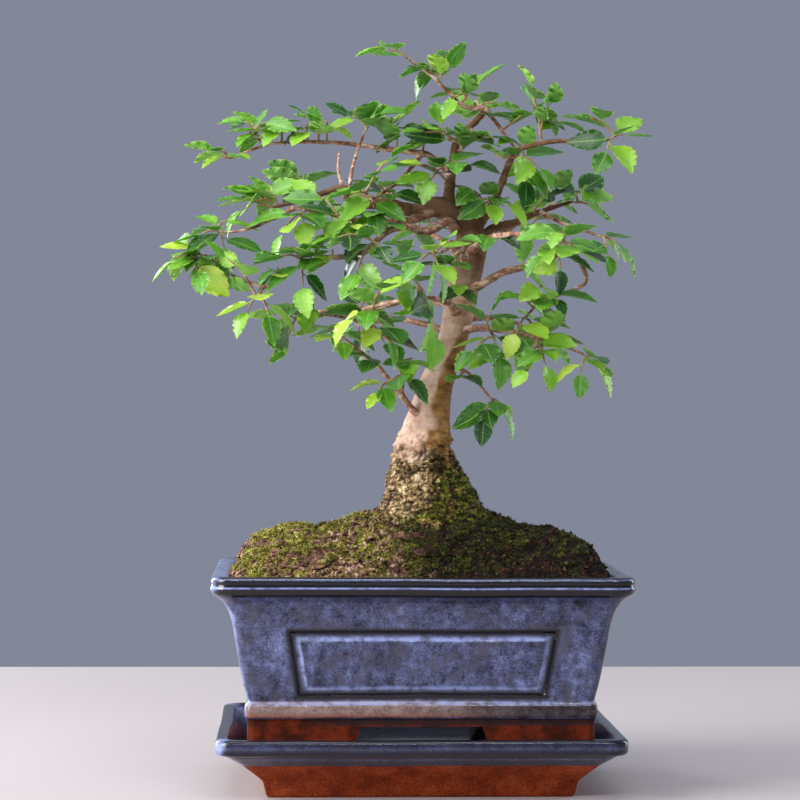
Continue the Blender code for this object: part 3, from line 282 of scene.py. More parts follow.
class Finish:
    """A material built node by node on a Principled shader. Its colours are given as 0 to 255."""

    def __init__(self, name, **constants):
        self.material = bpy.data.materials.new(name)
        self.material.use_nodes = True
        self.tree = self.material.node_tree
        self.shader = self.tree.nodes["Principled BSDF"]
        for socket, value in constants.items():
            self.shader.inputs[socket.replace("_", " ")].default_value = value
        self.place = self.node("ShaderNodeTexCoord", out="Object")

    def node(self, kind, settings=None, sockets=None, out=0):
        """A node's output, from its type, its settings and the values or links of its sockets."""
        made = self.tree.nodes.new(kind)
        for key, value in (settings or {}).items():
            if key == "stops":
                stops = made.color_ramp.elements
                stops[0].position, stops[0].color = value[0]
                stops[1].position, stops[1].color = value[-1]
                for position, colour in value[1:-1]:
                    stops.new(position).color = colour
            else:
                setattr(made, key, value)
        for key, value in (sockets or {}).items():
            if isinstance(value, Value):
                self.tree.links.new(value.socket, made.inputs[key])
            else:
                made.inputs[key].default_value = value
        return Value(self, made.outputs[out])

    def ramp(self, share, *stops):
        """A colour by a share, from stops of (share, red, green, blue)."""
        settings = {"stops": [(at, rgb(*colour)) for at, *colour in stops]}
        return self.node("ShaderNodeValToRGB", settings, {0: share})

    def mix(self, share, first, second):
        """Colours mixed by a share from 0 to 1."""
        first, second = (rgb(*part) if isinstance(part, tuple) else part for part in (first, second))
        return self.node("ShaderNodeMix", {"data_type": "RGBA"}, {0: share, 6: first, 7: second}, out=2)

    def grain(self, size, detail=3.0, roughness=0.6, stretch=None):
        """Noise from 0 to 1 whose grains are size millimetres across."""
        place = self.place
        if stretch:
            place = self.node("ShaderNodeMapping", None, {"Vector": place, "Scale": stretch})
        sockets = {"Vector": place, "Scale": 1.0 / (size * MM), "Detail": detail, "Roughness": roughness}
        return self.node("ShaderNodeTexNoise", None, sockets)

    def painted(self, name):
        """A value that the mesh carries."""
        return self.node("ShaderNodeAttribute", {"attribute_name": name}, out="Fac")

    def axis(self, letter):
        """The place along an axis, in metres."""
        return self.node("ShaderNodeSeparateXYZ", None, {0: self.place}, out=letter)

    def bump(self, height, depth, **under):
        """A normal from a height of 0 to 1 that stands for depth millimetres."""
        sockets = {"Height": height, "Distance": depth * MM, "Strength": 1.0, **under}
        return self.node("ShaderNodeBump", None, sockets)

    def wear(self, **sockets):
        """Links what changes over the surface to the shader."""
        for name, value in sockets.items():
            self.tree.links.new(value.socket, self.shader.inputs[name.replace("_", " ")])
        return self.material


def rgb(*parts):
    """A colour of 0 to 255 as the shader's own."""
    parts = [part / 255.0 for part in parts]
    return (*(p / 12.92 if p <= 0.04045 else ((p + 0.055) / 1.055) ** 2.4 for p in parts), 1.0)


def glaze_finish():
    """Mottled slate-blue glaze, thin and pale on edges, near black where it pools, over bare terracotta; it
    also carries painted highlights, painted shade on the pot's right corners and under its lip, and painted
    shade on the bare clay of the feet and under the arches.
    """
    finish = Finish("glaze_on_terracotta", Coat_Roughness=0.06, Coat_IOR=1.5, Specular_IOR_Level=0.15)
    bare, thin, pool, band = (finish.painted(name) for name in ("bare", "thin", "pool", "band"))
    clouds, mottle, freckle = finish.grain(18.0), finish.grain(3.8), finish.grain(0.75, 2.0, 0.65)
    streak = finish.grain(4.0, stretch=(1.0, 1.0, 0.25))
    height, sideways = finish.axis("Z"), finish.axis("X")
    left = 1.0 - sideways.between(-0.01, 0.05)
    glaze = finish.ramp(clouds * 0.18 + mottle * 0.30 + streak * 0.20 + freckle * 0.32,
                        (0.40, 26, 28, 42), (0.46, 54, 58, 84), (0.51, 75, 80, 113), (0.56, 95, 102, 142),
                        (0.64, 138, 148, 194))
    glaze = finish.mix(finish.grain(8.0).between(0.48, 0.64) * 0.6, glaze, (76, 73, 90))
    iron = freckle.between(0.58, 0.72) * mottle.between(0.42, 0.60)
    glaze = finish.mix(iron * 0.7, glaze, (48, 38, 40))
    rubbed = finish.mix((mottle * 0.5 + freckle * 0.5).between(0.38, 0.62),
                        finish.mix(left, (36, 27, 27), (108, 84, 78)),
                        finish.mix(left, (68, 60, 68), (140, 122, 120)))
    rust = (1.0 - height.between(0.0310, 0.0335)) * left
    rubbed = finish.mix(rust * 0.7, rubbed, (150, 82, 52))
    glaze = finish.mix((band * (0.7 + mottle * 0.6)).between(0.2, 0.8), glaze, rubbed)
    # Pale where the glaze runs thin and where highlights are painted; near black where it pools and where
    # shade is painted.
    pale = finish.mix(mottle.between(0.36, 0.56), (112, 116, 150), (144, 158, 210))
    glaze = finish.mix((thin * (0.6 + mottle * 0.7)).between(0.2, 1.0), glaze, pale)
    deep = finish.mix(height.between(0.019, 0.030), (12, 10, 32), (10, 10, 16))
    glaze = finish.mix((pool * (0.7 + mottle * 0.5)).between(0.15, 0.85), glaze, deep)
    sand, fired = finish.grain(0.7, 2.0, 0.7), finish.grain(9.0, 4.0)
    clay = finish.ramp(fired * 0.5 + sand * 0.5, (0.36, 88, 28, 8), (0.50, 134, 52, 20), (0.64, 170, 80, 40))
    # The bare clay of the pot's feet, above the saucer, is painted darker: painted shade under the pot.
    feet_painted_shade = finish.mix(fired.between(0.40, 0.62), (40, 9, 0), (98, 30, 4))
    clay = finish.mix(height.between(0.0135, 0.0175) * 0.88, clay, feet_painted_shade)
    # A band of painted shadow on the bare clay at the tops of the arches, under the pot's body.
    arch_painted_shadow = height.between(0.0271, 0.0287) * sideways.between(-0.045, -0.022)
    clay = finish.mix(arch_painted_shadow * 0.85, clay, (34, 25, 28))
    edge = (bare + (mottle - 0.5) * 0.5).between(0.35, 0.65)
    hide = 1.0 - edge
    skin = finish.bump(clouds * 0.5 + mottle * 0.4 + freckle * 0.1, 0.35)
    grit = finish.bump(sand, 0.12, Normal=skin)
    return finish.wear(
        Base_Color=finish.mix(edge, glaze, clay),
        Roughness=edge * 0.62 + hide * (0.24 + mottle * 0.26 - pool * 0.16),
        Coat_Weight=hide * (0.4 + pool * 0.35 + thin * 0.3),
        Normal=finish.node("ShaderNodeMix", {"data_type": "VECTOR"}, {0: edge, 4: skin, 5: grit}, out=1),
    )


def soil_finish(name, loose):
    """Brown humus, pinker to the left and painted almost black to the right, as shade."""
    finish = Finish(name, Specular_IOR_Level=0.15)
    lumps, crumbs = finish.grain(4.5, 4.0, 0.65), finish.grain(1.1, 3.0, 0.7)
    # Towards the right the soil, and the film of moss on it, are painted darker: painted shade.
    right = (finish.axis("X") + (finish.grain(14.0, roughness=0.55) - 0.5) * 0.03).between(-0.020, 0.014)
    relief = lumps * 0.5 + crumbs * 0.5
    depth = relief + (finish.painted("tone") - 0.5) * 0.30 if loose else relief
    lit_soil = finish.ramp(depth, (0.36, 26, 15, 12), (0.46, 78, 50, 40), (0.54, 126, 93, 78),
                      (0.66, 190, 160, 134))
    shaded_soil = finish.ramp(depth, (0.38, 7, 4, 3), (0.50, 22, 13, 8), (0.60, 48, 29, 18), (0.74, 104, 70, 50))
    colour = finish.mix(right, lit_soil, shaded_soil)
    if not loose:
        green = finish.mix(crumbs.between(0.35, 0.65), finish.mix(right, (58, 60, 14), (24, 25, 5)),
                           finish.mix(right, (146, 146, 46), (78, 80, 18)))
        colour = finish.mix(finish.painted("moss") * lumps.between(0.35, 0.6), colour, green)
    return finish.wear(Base_Color=colour, Roughness=0.72 + crumbs * 0.25,
                       Normal=finish.bump(relief, 0.3 if loose else 1.2))


def moss_finish():
    """Cushion moss, from shaded olive to lit yellow-green tips."""
    finish = Finish("moss", Specular_IOR_Level=0.15, Sheen_Weight=0.05, Sheen_Roughness=0.5)
    patches, fine = finish.grain(7.0), finish.grain(1.2, 2.0)
    right = (finish.axis("X") + (patches - 0.5) * 0.03).between(-0.022, 0.008)
    depth = patches * 0.45 + fine * 0.25 + finish.painted("tone") * 0.30
    lit = finish.ramp(depth, (0.30, 50, 42, 16), (0.43, 98, 90, 32), (0.56, 150, 145, 54),
                      (0.70, 210, 204, 112))
    shaded = finish.ramp(depth, (0.32, 14, 14, 2), (0.48, 34, 36, 5), (0.62, 72, 76, 12),
                         (0.75, 146, 146, 36))
    return finish.wear(Base_Color=finish.mix(right, lit, shaded), Roughness=0.7 + fine * 0.25,
                       Normal=finish.bump(fine, 0.3))


def bark_finish():
    """Corky, pitted old bark at the foot, smooth pinkish-beige above; painted shade makes it golden-brown at
    its right, umber on the corky right and foot, and dark brown high up under the crown.
    """
    finish = Finish("bark", Specular_IOR_Level=0.18)
    twig, pit, moss, shady = (finish.painted(name) for name in ("twig", "pit", "moss", "shady"))
    height = finish.axis("Z")
    wander, flecks = finish.grain(9.0), finish.grain(1.3, 4.0, 0.7)
    band = finish.grain(2.6, stretch=(0.5, 0.5, 1.1))
    stray = wander - 0.5
    smooth = finish.ramp(band * 0.35 + flecks * 0.2 + wander * 0.45,
                         (0.34, 172, 128, 104), (0.50, 208, 174, 152), (0.64, 232, 208, 192))
    golden = finish.mix(band.between(0.35, 0.65), (124, 86, 44), (170, 128, 76))
    # The right side of the smooth bark is painted golden-brown: painted shade.
    smooth = finish.mix((shady + stray * 0.5).between(0.25, 0.75), smooth, golden)
    # Higher up, under the crown, the smooth bark is painted dark brown: painted shade.
    smooth = finish.mix((height + stray * 0.02).between(0.180, 0.215) * 0.85, smooth, (86, 52, 10))
    cork = flecks * 0.65 + wander * 0.35
    corky = finish.ramp(cork, (0.40, 44, 30, 18), (0.47, 108, 82, 50), (0.53, 168, 142, 96),
                        (0.61, 226, 206, 172))
    umber = finish.ramp(cork, (0.40, 22, 17, 7), (0.48, 66, 52, 22), (0.54, 116, 94, 44),
                        (0.62, 184, 160, 98))
    shade = (shady * 0.7 + (1.0 - height.between(0.098, 0.122)) * 0.5).between(0.2, 0.75)
    corky = finish.mix(pit, finish.mix(shade, corky, umber), (30, 20, 11))
    green = finish.mix(flecks.between(0.42, 0.60), (40, 42, 8), (124, 128, 34))
    corky = finish.mix((moss * (0.5 + wander)).between(0.3, 0.75), corky, green)
    young = finish.ramp(band * 0.6 + flecks * 0.4, (0.38, 84, 50, 34), (0.50, 166, 122, 98),
                        (0.60, 224, 194, 174))
    old = 1.0 - (height + stray * 0.030).between(0.126, 0.136)
    return finish.wear(Base_Color=finish.mix(old, finish.mix(twig, smooth, young), corky),
                       Roughness=0.62 + flecks * 0.25, Normal=finish.bump(flecks * 0.6 + band * 0.4, 0.35))


def leaf_finish():
    """Glossy serrated leaves, dark green to young yellow-green, with pale veins and a dull underside."""
    finish = Finish("leaf", Coat_Roughness=0.30, Specular_IOR_Level=0.5, Subsurface_Weight=0.35,
                    Subsurface_Radius=(0.55, 1.0, 0.2), Subsurface_Scale=0.0012)
    sheet = finish.node("ShaderNodeTexCoord", out="UV")
    across, lengthways = (
        finish.node("ShaderNodeSeparateXYZ", None, {0: sheet}, out=letter) for letter in "XY")
    tone, under = finish.painted("tone"), finish.painted("underside")
    aside = (across - 0.5).absolute() * 2.0
    rib = 1.0 - aside.between(0.02, 0.09)
    comb = ((lengthways * 8.0 - aside * 1.6).fraction() - 0.5).absolute() * 2.0
    veins = comb.between(0.80, 1.0) * (1.0 - aside * 0.6)
    blotch = finish.grain(6.0)
    grown = finish.ramp(tone + (blotch - 0.5) * 0.35, (0.0, 8, 36, 8), (0.26, 30, 82, 18),
                        (0.50, 82, 143, 34), (0.75, 134, 186, 52), (1.0, 180, 212, 72))
    face = finish.mix((veins * 0.22).largest(rib * 0.45), grown, (160, 204, 92))
    return finish.wear(
        Base_Color=finish.mix(under, face, finish.mix(0.5, grown, (124, 170, 84))),
        Roughness=0.34 + blotch * 0.12 + under * 0.2,
        Coat_Weight=(1.0 - under) * 0.45,
        Normal=finish.bump(blotch * 0.6 + veins * -0.4, 0.07),
    )


def shoot_finish():
    """Thin shoots, mottled red-brown, pale tan and green."""
    finish = Finish("shoot")
    grain, fine = finish.grain(3.0), finish.grain(0.6, 2.0)
    colour = finish.ramp(grain, (0.36, 122, 76, 54), (0.50, 180, 134, 104), (0.62, 150, 146, 84))
    return finish.wear(Base_Color=colour, Roughness=0.5 + fine * 0.2, Normal=finish.bump(fine, 0.08))


def mesh_finish():
    """Black drainage mesh, scuffed by grit."""
    finish = Finish("mesh_plastic")
    scuff = finish.grain(1.5)
    colour = finish.mix(scuff.between(0.5, 0.75), (24, 24, 25), (66, 62, 58))
    return finish.wear(Base_Color=colour, Roughness=0.42 + scuff * 0.2, Normal=finish.bump(scuff, 0.05))


def wire_finish():
    """Anodised brown aluminium wire."""
    finish = Finish("wire", Metallic=1.0)
    drawn = finish.grain(0.8, stretch=(0.15, 1.0, 1.0))
    colour = finish.mix(drawn, (108, 70, 50), (160, 112, 84))
    return finish.wear(Base_Color=colour, Roughness=0.28 + drawn * 0.2, Normal=finish.bump(drawn, 0.02))


def shown(item):
    """Puts an object in the scene."""
    bpy.context.scene.collection.objects.link(item)
    return item


def from_frame(place):
    """A place of the model's frame in millimetres about the pot's centre."""
    return (Vector(place) - Vector(POT_PLACE)) / MM


def carry(mesh, kind="FLOAT", domain="POINT", field="value", **painted):
    """Gives a mesh named values on its points, edges or faces."""
    for key, values in painted.items():
        mesh.attributes.new(key, kind, domain).data.foreach_set(field, np.ravel(values).tolist())


def make_mesh(name, points, faces, material, **painted):
    """A smooth mesh object from points in millimetres about the pot's centre, with values on its points."""
    mesh = bpy.data.meshes.new(name)
    mesh.from_pydata((np.asarray(points) * MM + POT_PLACE).tolist(), [], faces)
    carry(mesh, **painted)
    mesh.materials.append(material)
    mesh.shade_smooth()
    return shown(bpy.data.objects.new(name, mesh))


def turn_outwards(item, weld=0.0):
    """Turns a closed mesh's faces outwards, after joining points that lie closer than weld millimetres."""
    bm = bmesh.new()
    bm.from_mesh(item.data)
    if weld:
        bmesh.ops.remove_doubles(bm, verts=bm.verts, dist=weld * MM)
    bmesh.ops.recalc_face_normals(bm, faces=bm.faces)
    bm.to_mesh(item.data)
    bm.free()
    return item


def joined(name, items):
    """One mesh object from several, which are used up."""
    first = items[0]
    with bpy.context.temp_override(active_object=first, selected_editable_objects=items):
        bpy.ops.object.join()
    first.name = first.data.name = name
    return first


def settled(item):
    """An object's evaluated shape as a plain mesh object in its place."""
    mesh = bpy.data.meshes.new_from_object(item.evaluated_get(bpy.context.evaluated_depsgraph_get()))
    mesh.name = name = item.name
    bpy.data.objects.remove(item, do_unlink=True)
    return shown(bpy.data.objects.new(name, mesh))


def rounded(item, levels):
    """An object smoothed by subdivision."""
    modifier = item.modifiers.new("round", "SUBSURF")
    modifier.levels = modifier.render_levels = levels
    return settled(item)


def tube_faces(rows, columns, ends=True):
    """Quads between rows of points that each close on themselves, and a face over each end."""
    a = np.arange(rows - 1)[:, None] * columns + np.arange(columns)
    b = np.roll(a, -1, 1)
    faces = [tuple(face) for face in np.stack((a, b, b + columns, a + columns), -1).reshape(-1, 4).tolist()]
    if ends:
        faces += [tuple(range(columns))[::-1], tuple(range((rows - 1) * columns, rows * columns))]
    return faces


def step(value):
    """0 below 0, 1 above 1, eased between."""
    value = np.clip(value, 0.0, 1.0)
    return value * value * (3 - 2 * value)


def near(value, width):
    """1 at 0, fading to nothing at about twice the width."""
    return np.exp(-((value / width) ** 2))


def rough(points, size, octaves=1, seed=0.0):
    """Noise from -1 to 1 at each point, with grains size millimetres across."""
    shift = Vector((seed, 2.7 * seed, -1.3 * seed))
    if octaves > 1:
        return np.array([noise.fractal(Vector(p) / size + shift, 0.8, 2.1, octaves) for p in points])
    return np.array([noise.noise(Vector(p) / size + shift) for p in points])


def layered(points, layers):
    """Layers of noise added up, each of a size, octaves, a seed and a height."""
    return sum(rough(points, size, octaves, seed) * height for size, octaves, seed, height in layers)


def drift(points, size, seeds, shift=0.0):
    """How far each point strays along the three axes, from -1 to 1."""
    return np.stack([rough(points + shift * seed, size, seed=seed) for seed in seeds], -1)


def cracked(points, size):
    """How far each point lies from the border between cells size millimetres across, in cells."""
    found = np.array([noise.voronoi(Vector(p) / size)[0][:2] for p in points])
    return found[:, 1] - found[:, 0]


def smooth_line(points, spacing):
    """A curve through points, as points about spacing apart."""
    points = np.asarray(points, float)
    ends = np.vstack((2 * points[0] - points[1], points, 2 * points[-1] - points[-2]))
    made = []
    for a, b, c, d in zip(ends, ends[1:], ends[2:], ends[3:]):
        count = max(1, round(np.linalg.norm(c[:3] - b[:3]) / spacing))
        for t in np.arange(count) / count:
            made.append(0.5 * (2 * b + (c - a) * t + (2 * a - 5 * b + 4 * c - d) * t * t
                               + (3 * b - 3 * c + d - a) * t ** 3))
    return np.array([*made, points[-1]])


def side_stops(straight, arch, panel, segments):
    """Places along half a wall, from its middle to where its corner starts."""
    edges = [edge + by for edge in (panel - PANEL_BORDER, panel) for by in PANEL_STEPS]
    stops = (0.0, *arch, *edges, straight)
    counts = (segments[0], 3, segments[1], *[1] * (len(edges) - 1), segments[2])
    parts = [np.linspace(a, b, n, endpoint=False) for a, b, n in zip(stops, stops[1:], counts)]
    half = np.concatenate((*parts, [straight]))
    return np.concatenate((-half[:0:-1], half))


def shrunk(half, corner, inset):
    """Half sizes and corner of a rectangle drawn this far inside another."""
    return [side - inset for side in half], max(corner - CORNER_SHRINK * inset, LEAST_CORNER)


def round_box_ring(half, corner, *stops):
    """Points round a rectangle with round corners, ways out, places along the side, and side numbers."""
    rows = []
    bend = np.linspace(0, math.pi / 2, CORNER_SEGMENTS + 1)[1:-1]
    for side, along in enumerate(stops * 2):
        deep, turn = half[1 - side % 2], side * math.pi / 2
        spin = np.array(((math.cos(turn), math.sin(turn)), (-math.sin(turn), math.cos(turn))))
        wall = np.stack((along, np.full(len(along), -deep)), -1)
        bow = np.stack((along[-1] + corner * np.sin(bend), -deep + corner - corner * np.cos(bend)), -1)
        out = np.vstack((np.tile((0.0, -1.0), (len(along), 1)), np.stack((np.sin(bend), -np.cos(bend)), -1)))
        places = np.concatenate((along, np.full(len(bend), CORNER_PLACE)))
        rows.append((np.vstack((wall, bow)) @ spin, out @ spin, places, np.full(len(places), side % 2)))
    return [np.concatenate(part) for part in zip(*rows)]


def finer(profile, pitch):
    """A profile with points added where it has long stretches."""
    made = [profile[0]]
    for (x, z), (next_x, next_z) in zip(profile, profile[1:]):
        count = max(1, round(math.hypot(next_x - x, next_z - z) / pitch))
        made += [(x + (next_x - x) * k / count, z + (next_z - z) * k / count) for k in range(1, count + 1)]
    return made


def pot_paint(height, ring, ways, reach, sides, outer, inner):
    """Where a row's glaze is thin, pooled or missing, where painted highlights and painted shade fall, and
    where it has the moulding's brown band.
    """
    # Two pale lines along the rim are painted highlights.
    rim_highlight = sum(near(height - line, 0.5) for line in RIM_HIGHLIGHT_LINES)
    corners = reach >= CORNER_PLACE
    # The left corners are painted pale as a highlight, and the right corners darker as shade.
    left_corner_highlight, right_corner_shade = (corners * step((side * ways[:, 0] - 0.45) / 0.45) for side in (-1, 1))
    # The left end of the rim is painted pale: partly a painted reflection, partly thin glaze.
    left_rim_reflection = (sides == 1) * (ring[:, 0] < 0) * step((height - 81) / 2) * step((76 - reach) / 30)
    frame_line = near(inner + 0.2, 0.8)
    ledge = step(outer / PANEL_EASE) * step(-inner / PANEL_EASE) * 0.28
    thin = (frame_line * 0.9 + ledge + near(height - 36.4, 0.6) * 1.1 + near(height - 70.5, 1.8) * 0.3
            + left_corner_highlight * 0.6 + rim_highlight * 0.9 + left_rim_reflection * 0.9)
    # Below the rim the glaze is darkened partly as painted shade under the lip and partly as iron-dark glaze.
    pool = (near(outer + 0.1, 1.5) + near(height - 38.6, 0.6) * 0.35 + near(height - 31.0, 0.6) * 0.35
            + step((height - 77.0) / 1.2) * 0.95 + step((height - 73.0) / 2.5) * 0.30
            + right_corner_shade * step((height - 37) / 5) * 0.7)
    clear = (1 - rim_highlight * 0.85) * (1 - left_rim_reflection * 0.9) * (1 - frame_line) * (1 - left_corner_highlight * 0.6)
    bare = np.full(len(ring), step((GLAZE_LINE - height) / 0.8 + 0.5))
    band = np.full(len(ring), step((height - MOULDING[0]) / 0.8) * step((MOULDING[1] - height) / 0.8))
    return thin, np.clip(pool, 0, 1) * clear, bare, band


def pot_row(inset, height, arch_fade):
    """One row of the pot: its points, and what is painted on them."""
    half, corner = shrunk(POT_HALF, POT_CORNER, inset)
    rise = np.clip((height - PANEL_LOW) / (PANEL_HIGH - PANEL_LOW), 0, 1)
    panels = [low + (high - low) * rise for low, high in PANEL_HALVES]
    stops = [side_stops(half[k] - corner, ARCHES[k], panels[k], WALL_SEGMENTS[k]) for k in (0, 1)]
    ring, ways, places, sides = round_box_ring(half, corner, *stops)
    reach = np.abs(places)
    tops, feet, widths = (np.where(sides == 0, *pair) for pair in (*zip(*ARCHES), panels))
    floor = POT_FOOT + (ARCH_TOP - POT_FOOT) * np.clip((feet - reach) / (feet - tops), 0, 1)
    levels = np.full(len(ring), height)
    if height < arch_fade:
        levels = floor + (height - POT_FOOT) / (arch_fade - POT_FOOT) * (arch_fade - floor)
    outer = np.minimum(widths - reach, min(height - PANEL_LOW, PANEL_HIGH - height))
    inner = outer - PANEL_BORDER
    if arch_fade < ARCH_FADE or inset > POT_OUTSIDE[0][0] and height < POT_FLOOR + 6 or height > 70:
        outer = inner = np.full(len(ring), OFF_PANEL)
    depth = (PANEL_DEPTH * step(outer / PANEL_EASE + 0.5)
             - (PANEL_DEPTH - FIELD_DEPTH) * step(inner / PANEL_EASE + 0.5))
    points = np.column_stack((ring - ways * depth[:, None], levels))
    return points, *pot_paint(height, ring, ways, reach, sides, outer, inner)


def make_pot(glaze):
    """The pot as one dense closed shell, with sunk panels, arches between the feet and two drain holes."""
    borders = (PANEL_LOW, PANEL_LOW + PANEL_BORDER, PANEL_HIGH - PANEL_BORDER, PANEL_HIGH)
    extra = [edge + by for edge in borders for by in PANEL_ROWS]
    insets, heights = zip(*POT_OUTSIDE)
    outside = [row for row in finer(POT_OUTSIDE, 1.3) if all(abs(row[1] - z) > 0.3 for z in extra)]
    outside += [(float(np.interp(z, heights, insets)), z) for z in extra]
    foot = [row for row in outside if row[1] <= POT_OUTSIDE[1][1]]
    outside = foot + sorted((row for row in outside if row not in foot), key=lambda row: row[::-1])
    inside = finer(POT_INSIDE, 3.0)
    rows = [pot_row(*row, POT_UNDERSIDE) for row in POT_FOOT_INSIDE]
    rows += [pot_row(*row, ARCH_FADE) for row in outside] + [pot_row(*row, 0.0) for row in inside]
    columns = len(rows[0][0])
    points, thin, pool, bare, band = (np.concatenate(part) for part in zip(*rows))
    within = np.arange(len(points)) >= len(points) - len(inside) * columns
    bare[within & (points[:, 2] < 70)] = 1.0
    free = step((points[:, 2] - 18) / 16)[:, None]
    ripple = rough(points, 9.0, seed=3.0)[:, None] * (points - points.mean(0)) / 60.0
    points = points + drift(points, 38.0, (1.0, 5.0, 9.0)) * (0.45, 0.45, 0.3) * free + ripple * 0.10 * free
    faces = tube_faces(len(rows), columns, ends=False)
    pot = make_mesh("pot_glazed", points, faces, glaze, thin=thin, pool=pool, bare=bare, band=band)
    bm = bmesh.new()
    bm.from_mesh(pot.data)
    shell = list(bm.verts)
    bare_layer = bm.verts.layers.float["bare"]
    angles = np.linspace(0, 2 * math.pi, DRAIN_SEGMENTS, endpoint=False)
    holes = []
    for level, first in ((POT_UNDERSIDE, 0), (POT_FLOOR, len(points) - columns)):
        loops = [shell[first:first + columns]]
        for x in (-DRAIN_X, DRAIN_X):
            circle = np.column_stack((x + DRAIN_RADIUS * np.cos(angles), DRAIN_RADIUS * np.sin(angles),
                                      np.full(DRAIN_SEGMENTS, level))) * MM + POT_PLACE
            loops.append([bm.verts.new(spot) for spot in circle])
            for vertex in loops[-1]:
                vertex[bare_layer] = 1.0
        pairs = [pair for loop in loops for pair in zip(loop, loop[1:] + loop[:1])]
        edges = [bm.edges.get(pair) or bm.edges.new(pair) for pair in pairs]
        bmesh.ops.triangle_fill(bm, use_beauty=True, use_dissolve=False, edges=edges)
        holes.append(loops[1:])
    for low, high in zip(*holes):
        for k in range(DRAIN_SEGMENTS):
            bm.faces.new((low[k], low[k - 1], high[k - 1], high[k]))
    bmesh.ops.recalc_face_normals(bm, faces=bm.faces)
    bm.to_mesh(pot.data)
    bm.free()
    pot.data.shade_smooth()
    pot.data.set_sharp_from_angle(angle=math.radians(50))
    return pot


def make_saucer(glaze):
    """The saucer: a bull-nosed lip on flared sides, glazed above and bare below."""
    rows = []
    for inset, height in finer(SAUCER_PROFILE, 1.6):
        half, corner = shrunk(SAUCER_HALF, SAUCER_CORNER, inset)
        stops = [np.linspace(corner - side, side - corner, count) for side, count in zip(half, (60, 44))]
        ring, ways, places, _ = round_box_ring(half, corner, *stops)
        # Painted highlights: pale left corners, and pale lines along the lip's top edge and bull-nose.
        left_corner_highlight = (np.abs(places) >= CORNER_PLACE) * step((-ways[:, 0] - 0.3) / 0.5)
        outside = inset < 23 and not (height >= 16.4 and inset > 4.5)
        thin = (near(height - 23.9, 0.3) + near(height - 21.6, 0.9)) * 0.5 + left_corner_highlight * 0.7
        pool = 0.86 - near(height - 21.6, 1.0) * 0.50 - 0.20 * step(17.5 - height) if outside else 0.36
        bare = step((SAUCER_GLAZE_LINE - height) / 0.6 + 0.5) if outside or inset >= 23 else 0.0
        level, bare = (np.full(len(ring), float(value)) for value in (height, bare))
        rows.append((np.column_stack((ring, level)), thin, pool * (1 - left_corner_highlight * 0.8), bare))
    points, thin, pool, bare = (np.concatenate(part) for part in zip(*rows))
    free = step((points[:, 2] - 1) / 12)[:, None]
    points = points + drift(points, 34.0, (2.0, 6.0, 11.0)) * (0.4, 0.4, 0.22) * free
    faces = tube_faces(len(rows), len(rows[0][0]))
    return turn_outwards(make_mesh("saucer_glazed", points, faces, glaze, thin=thin, pool=pool, bare=bare))


def bank(x, y):
    """How much higher the soil stands at a place near the pot's left and right ends."""
    return np.interp(np.abs(x), *zip(*SOIL_BANK)) * step((49.0 - np.abs(y)) / 18.0)


def make_soil(look):
    """The mound, lumpy, from the trunk's foot out to the pot's wall, closed underneath, and its moss."""
    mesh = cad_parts["soil"].data
    packed = BVHTree.FromPolygons([from_frame(v.co) for v in mesh.vertices],
                                  [tuple(p.vertices) for p in mesh.polygons])

    def level(x, y):
        hit = packed.ray_cast(Vector((x * 0.99, y * 0.99, 150.0)), Vector((0, 0, -1)))[0]
        return hit.z if hit else 84.0

    centre = np.array((TRUNK[0][0] + TREE_X, 0.0))
    angles = np.linspace(0, 2 * math.pi, SOIL_AROUND, endpoint=False)
    ways = np.stack((np.cos(angles), np.sin(angles)), -1)
    edge = ways / (np.abs(ways / np.array(SOIL_HALF)) ** 9).sum(1)[:, None] ** (1 / 9)
    inner = centre + ways * 15.0
    rows = []
    for share in np.arange(SOIL_OUTWARDS + 1) / SOIL_OUTWARDS:
        spots = inner + (edge - inner) * share
        away = np.linalg.norm(spots - centre, axis=1)
        probes = centre + (spots - centre) * np.maximum(1, 27.0 / away)[:, None]
        heights = np.array([level(*spot) for spot in probes])
        rows.append(np.column_stack((spots, heights + np.maximum(0, 25.0 - away) * 0.55)))
    heights = np.array([row[:, 2] for row in rows])
    for _ in range(4):
        padded = np.vstack((heights[:1], heights, heights[-1:]))
        heights = (padded[:-2] + padded[2:] + np.roll(heights, 1, 1) + np.roll(heights, -1, 1)
                   + 2 * heights) / 6
    points = np.vstack(rows)
    points[:, 2] = heights.ravel() + bank(points[:, 0], points[:, 1])
    shares = np.repeat(np.arange(SOIL_OUTWARDS + 1) / SOIL_OUTWARDS, SOIL_AROUND)
    points[:, 2] += layered(points, SOIL_LUMPS) * (step((1 - shares) / 0.06) * 0.75 + 0.25)
    left = step((12 - points[:, 0]) / 40)
    moss = step(rough(points, 11.0, 2, 14.0) * 1.2 + left * 0.45 + near(shares - 0.3, 0.35) * 0.45)
    patch = sum(near(np.hypot((points[:, 0] - x) / wide, (points[:, 1] - y) / deep), 1.0)
                for (x, y), (wide, deep) in SOIL_MOSS)
    patch = step((patch + rough(points, 6.0, 2, 23.0) * 0.8 - 0.30) / 0.35)
    cover = np.where(np.arange(len(points)) < SOIL_AROUND * 8, 0.0, 1.0)
    walls = []
    for inset, wall_level in SOIL_WALL:
        shrink = [(outer - inset) / half for outer, half in zip(POT_HALF, SOIL_HALF)]
        walls.append(np.column_stack((edge * shrink, np.full(SOIL_AROUND, wall_level))))
    below = np.zeros(len(walls) * SOIL_AROUND)
    surface = (np.maximum(moss, patch), patch, cover)
    moss, patch, cover = (np.concatenate((values, below)) for values in surface)
    faces = tube_faces(len(rows) + len(walls), SOIL_AROUND)
    soil = make_mesh("soil_mound", np.vstack((points, *walls)), faces, look, moss=moss,
                     cover=cover * (1 - 0.8 * patch))
    return turn_outwards(soil), cover * patch


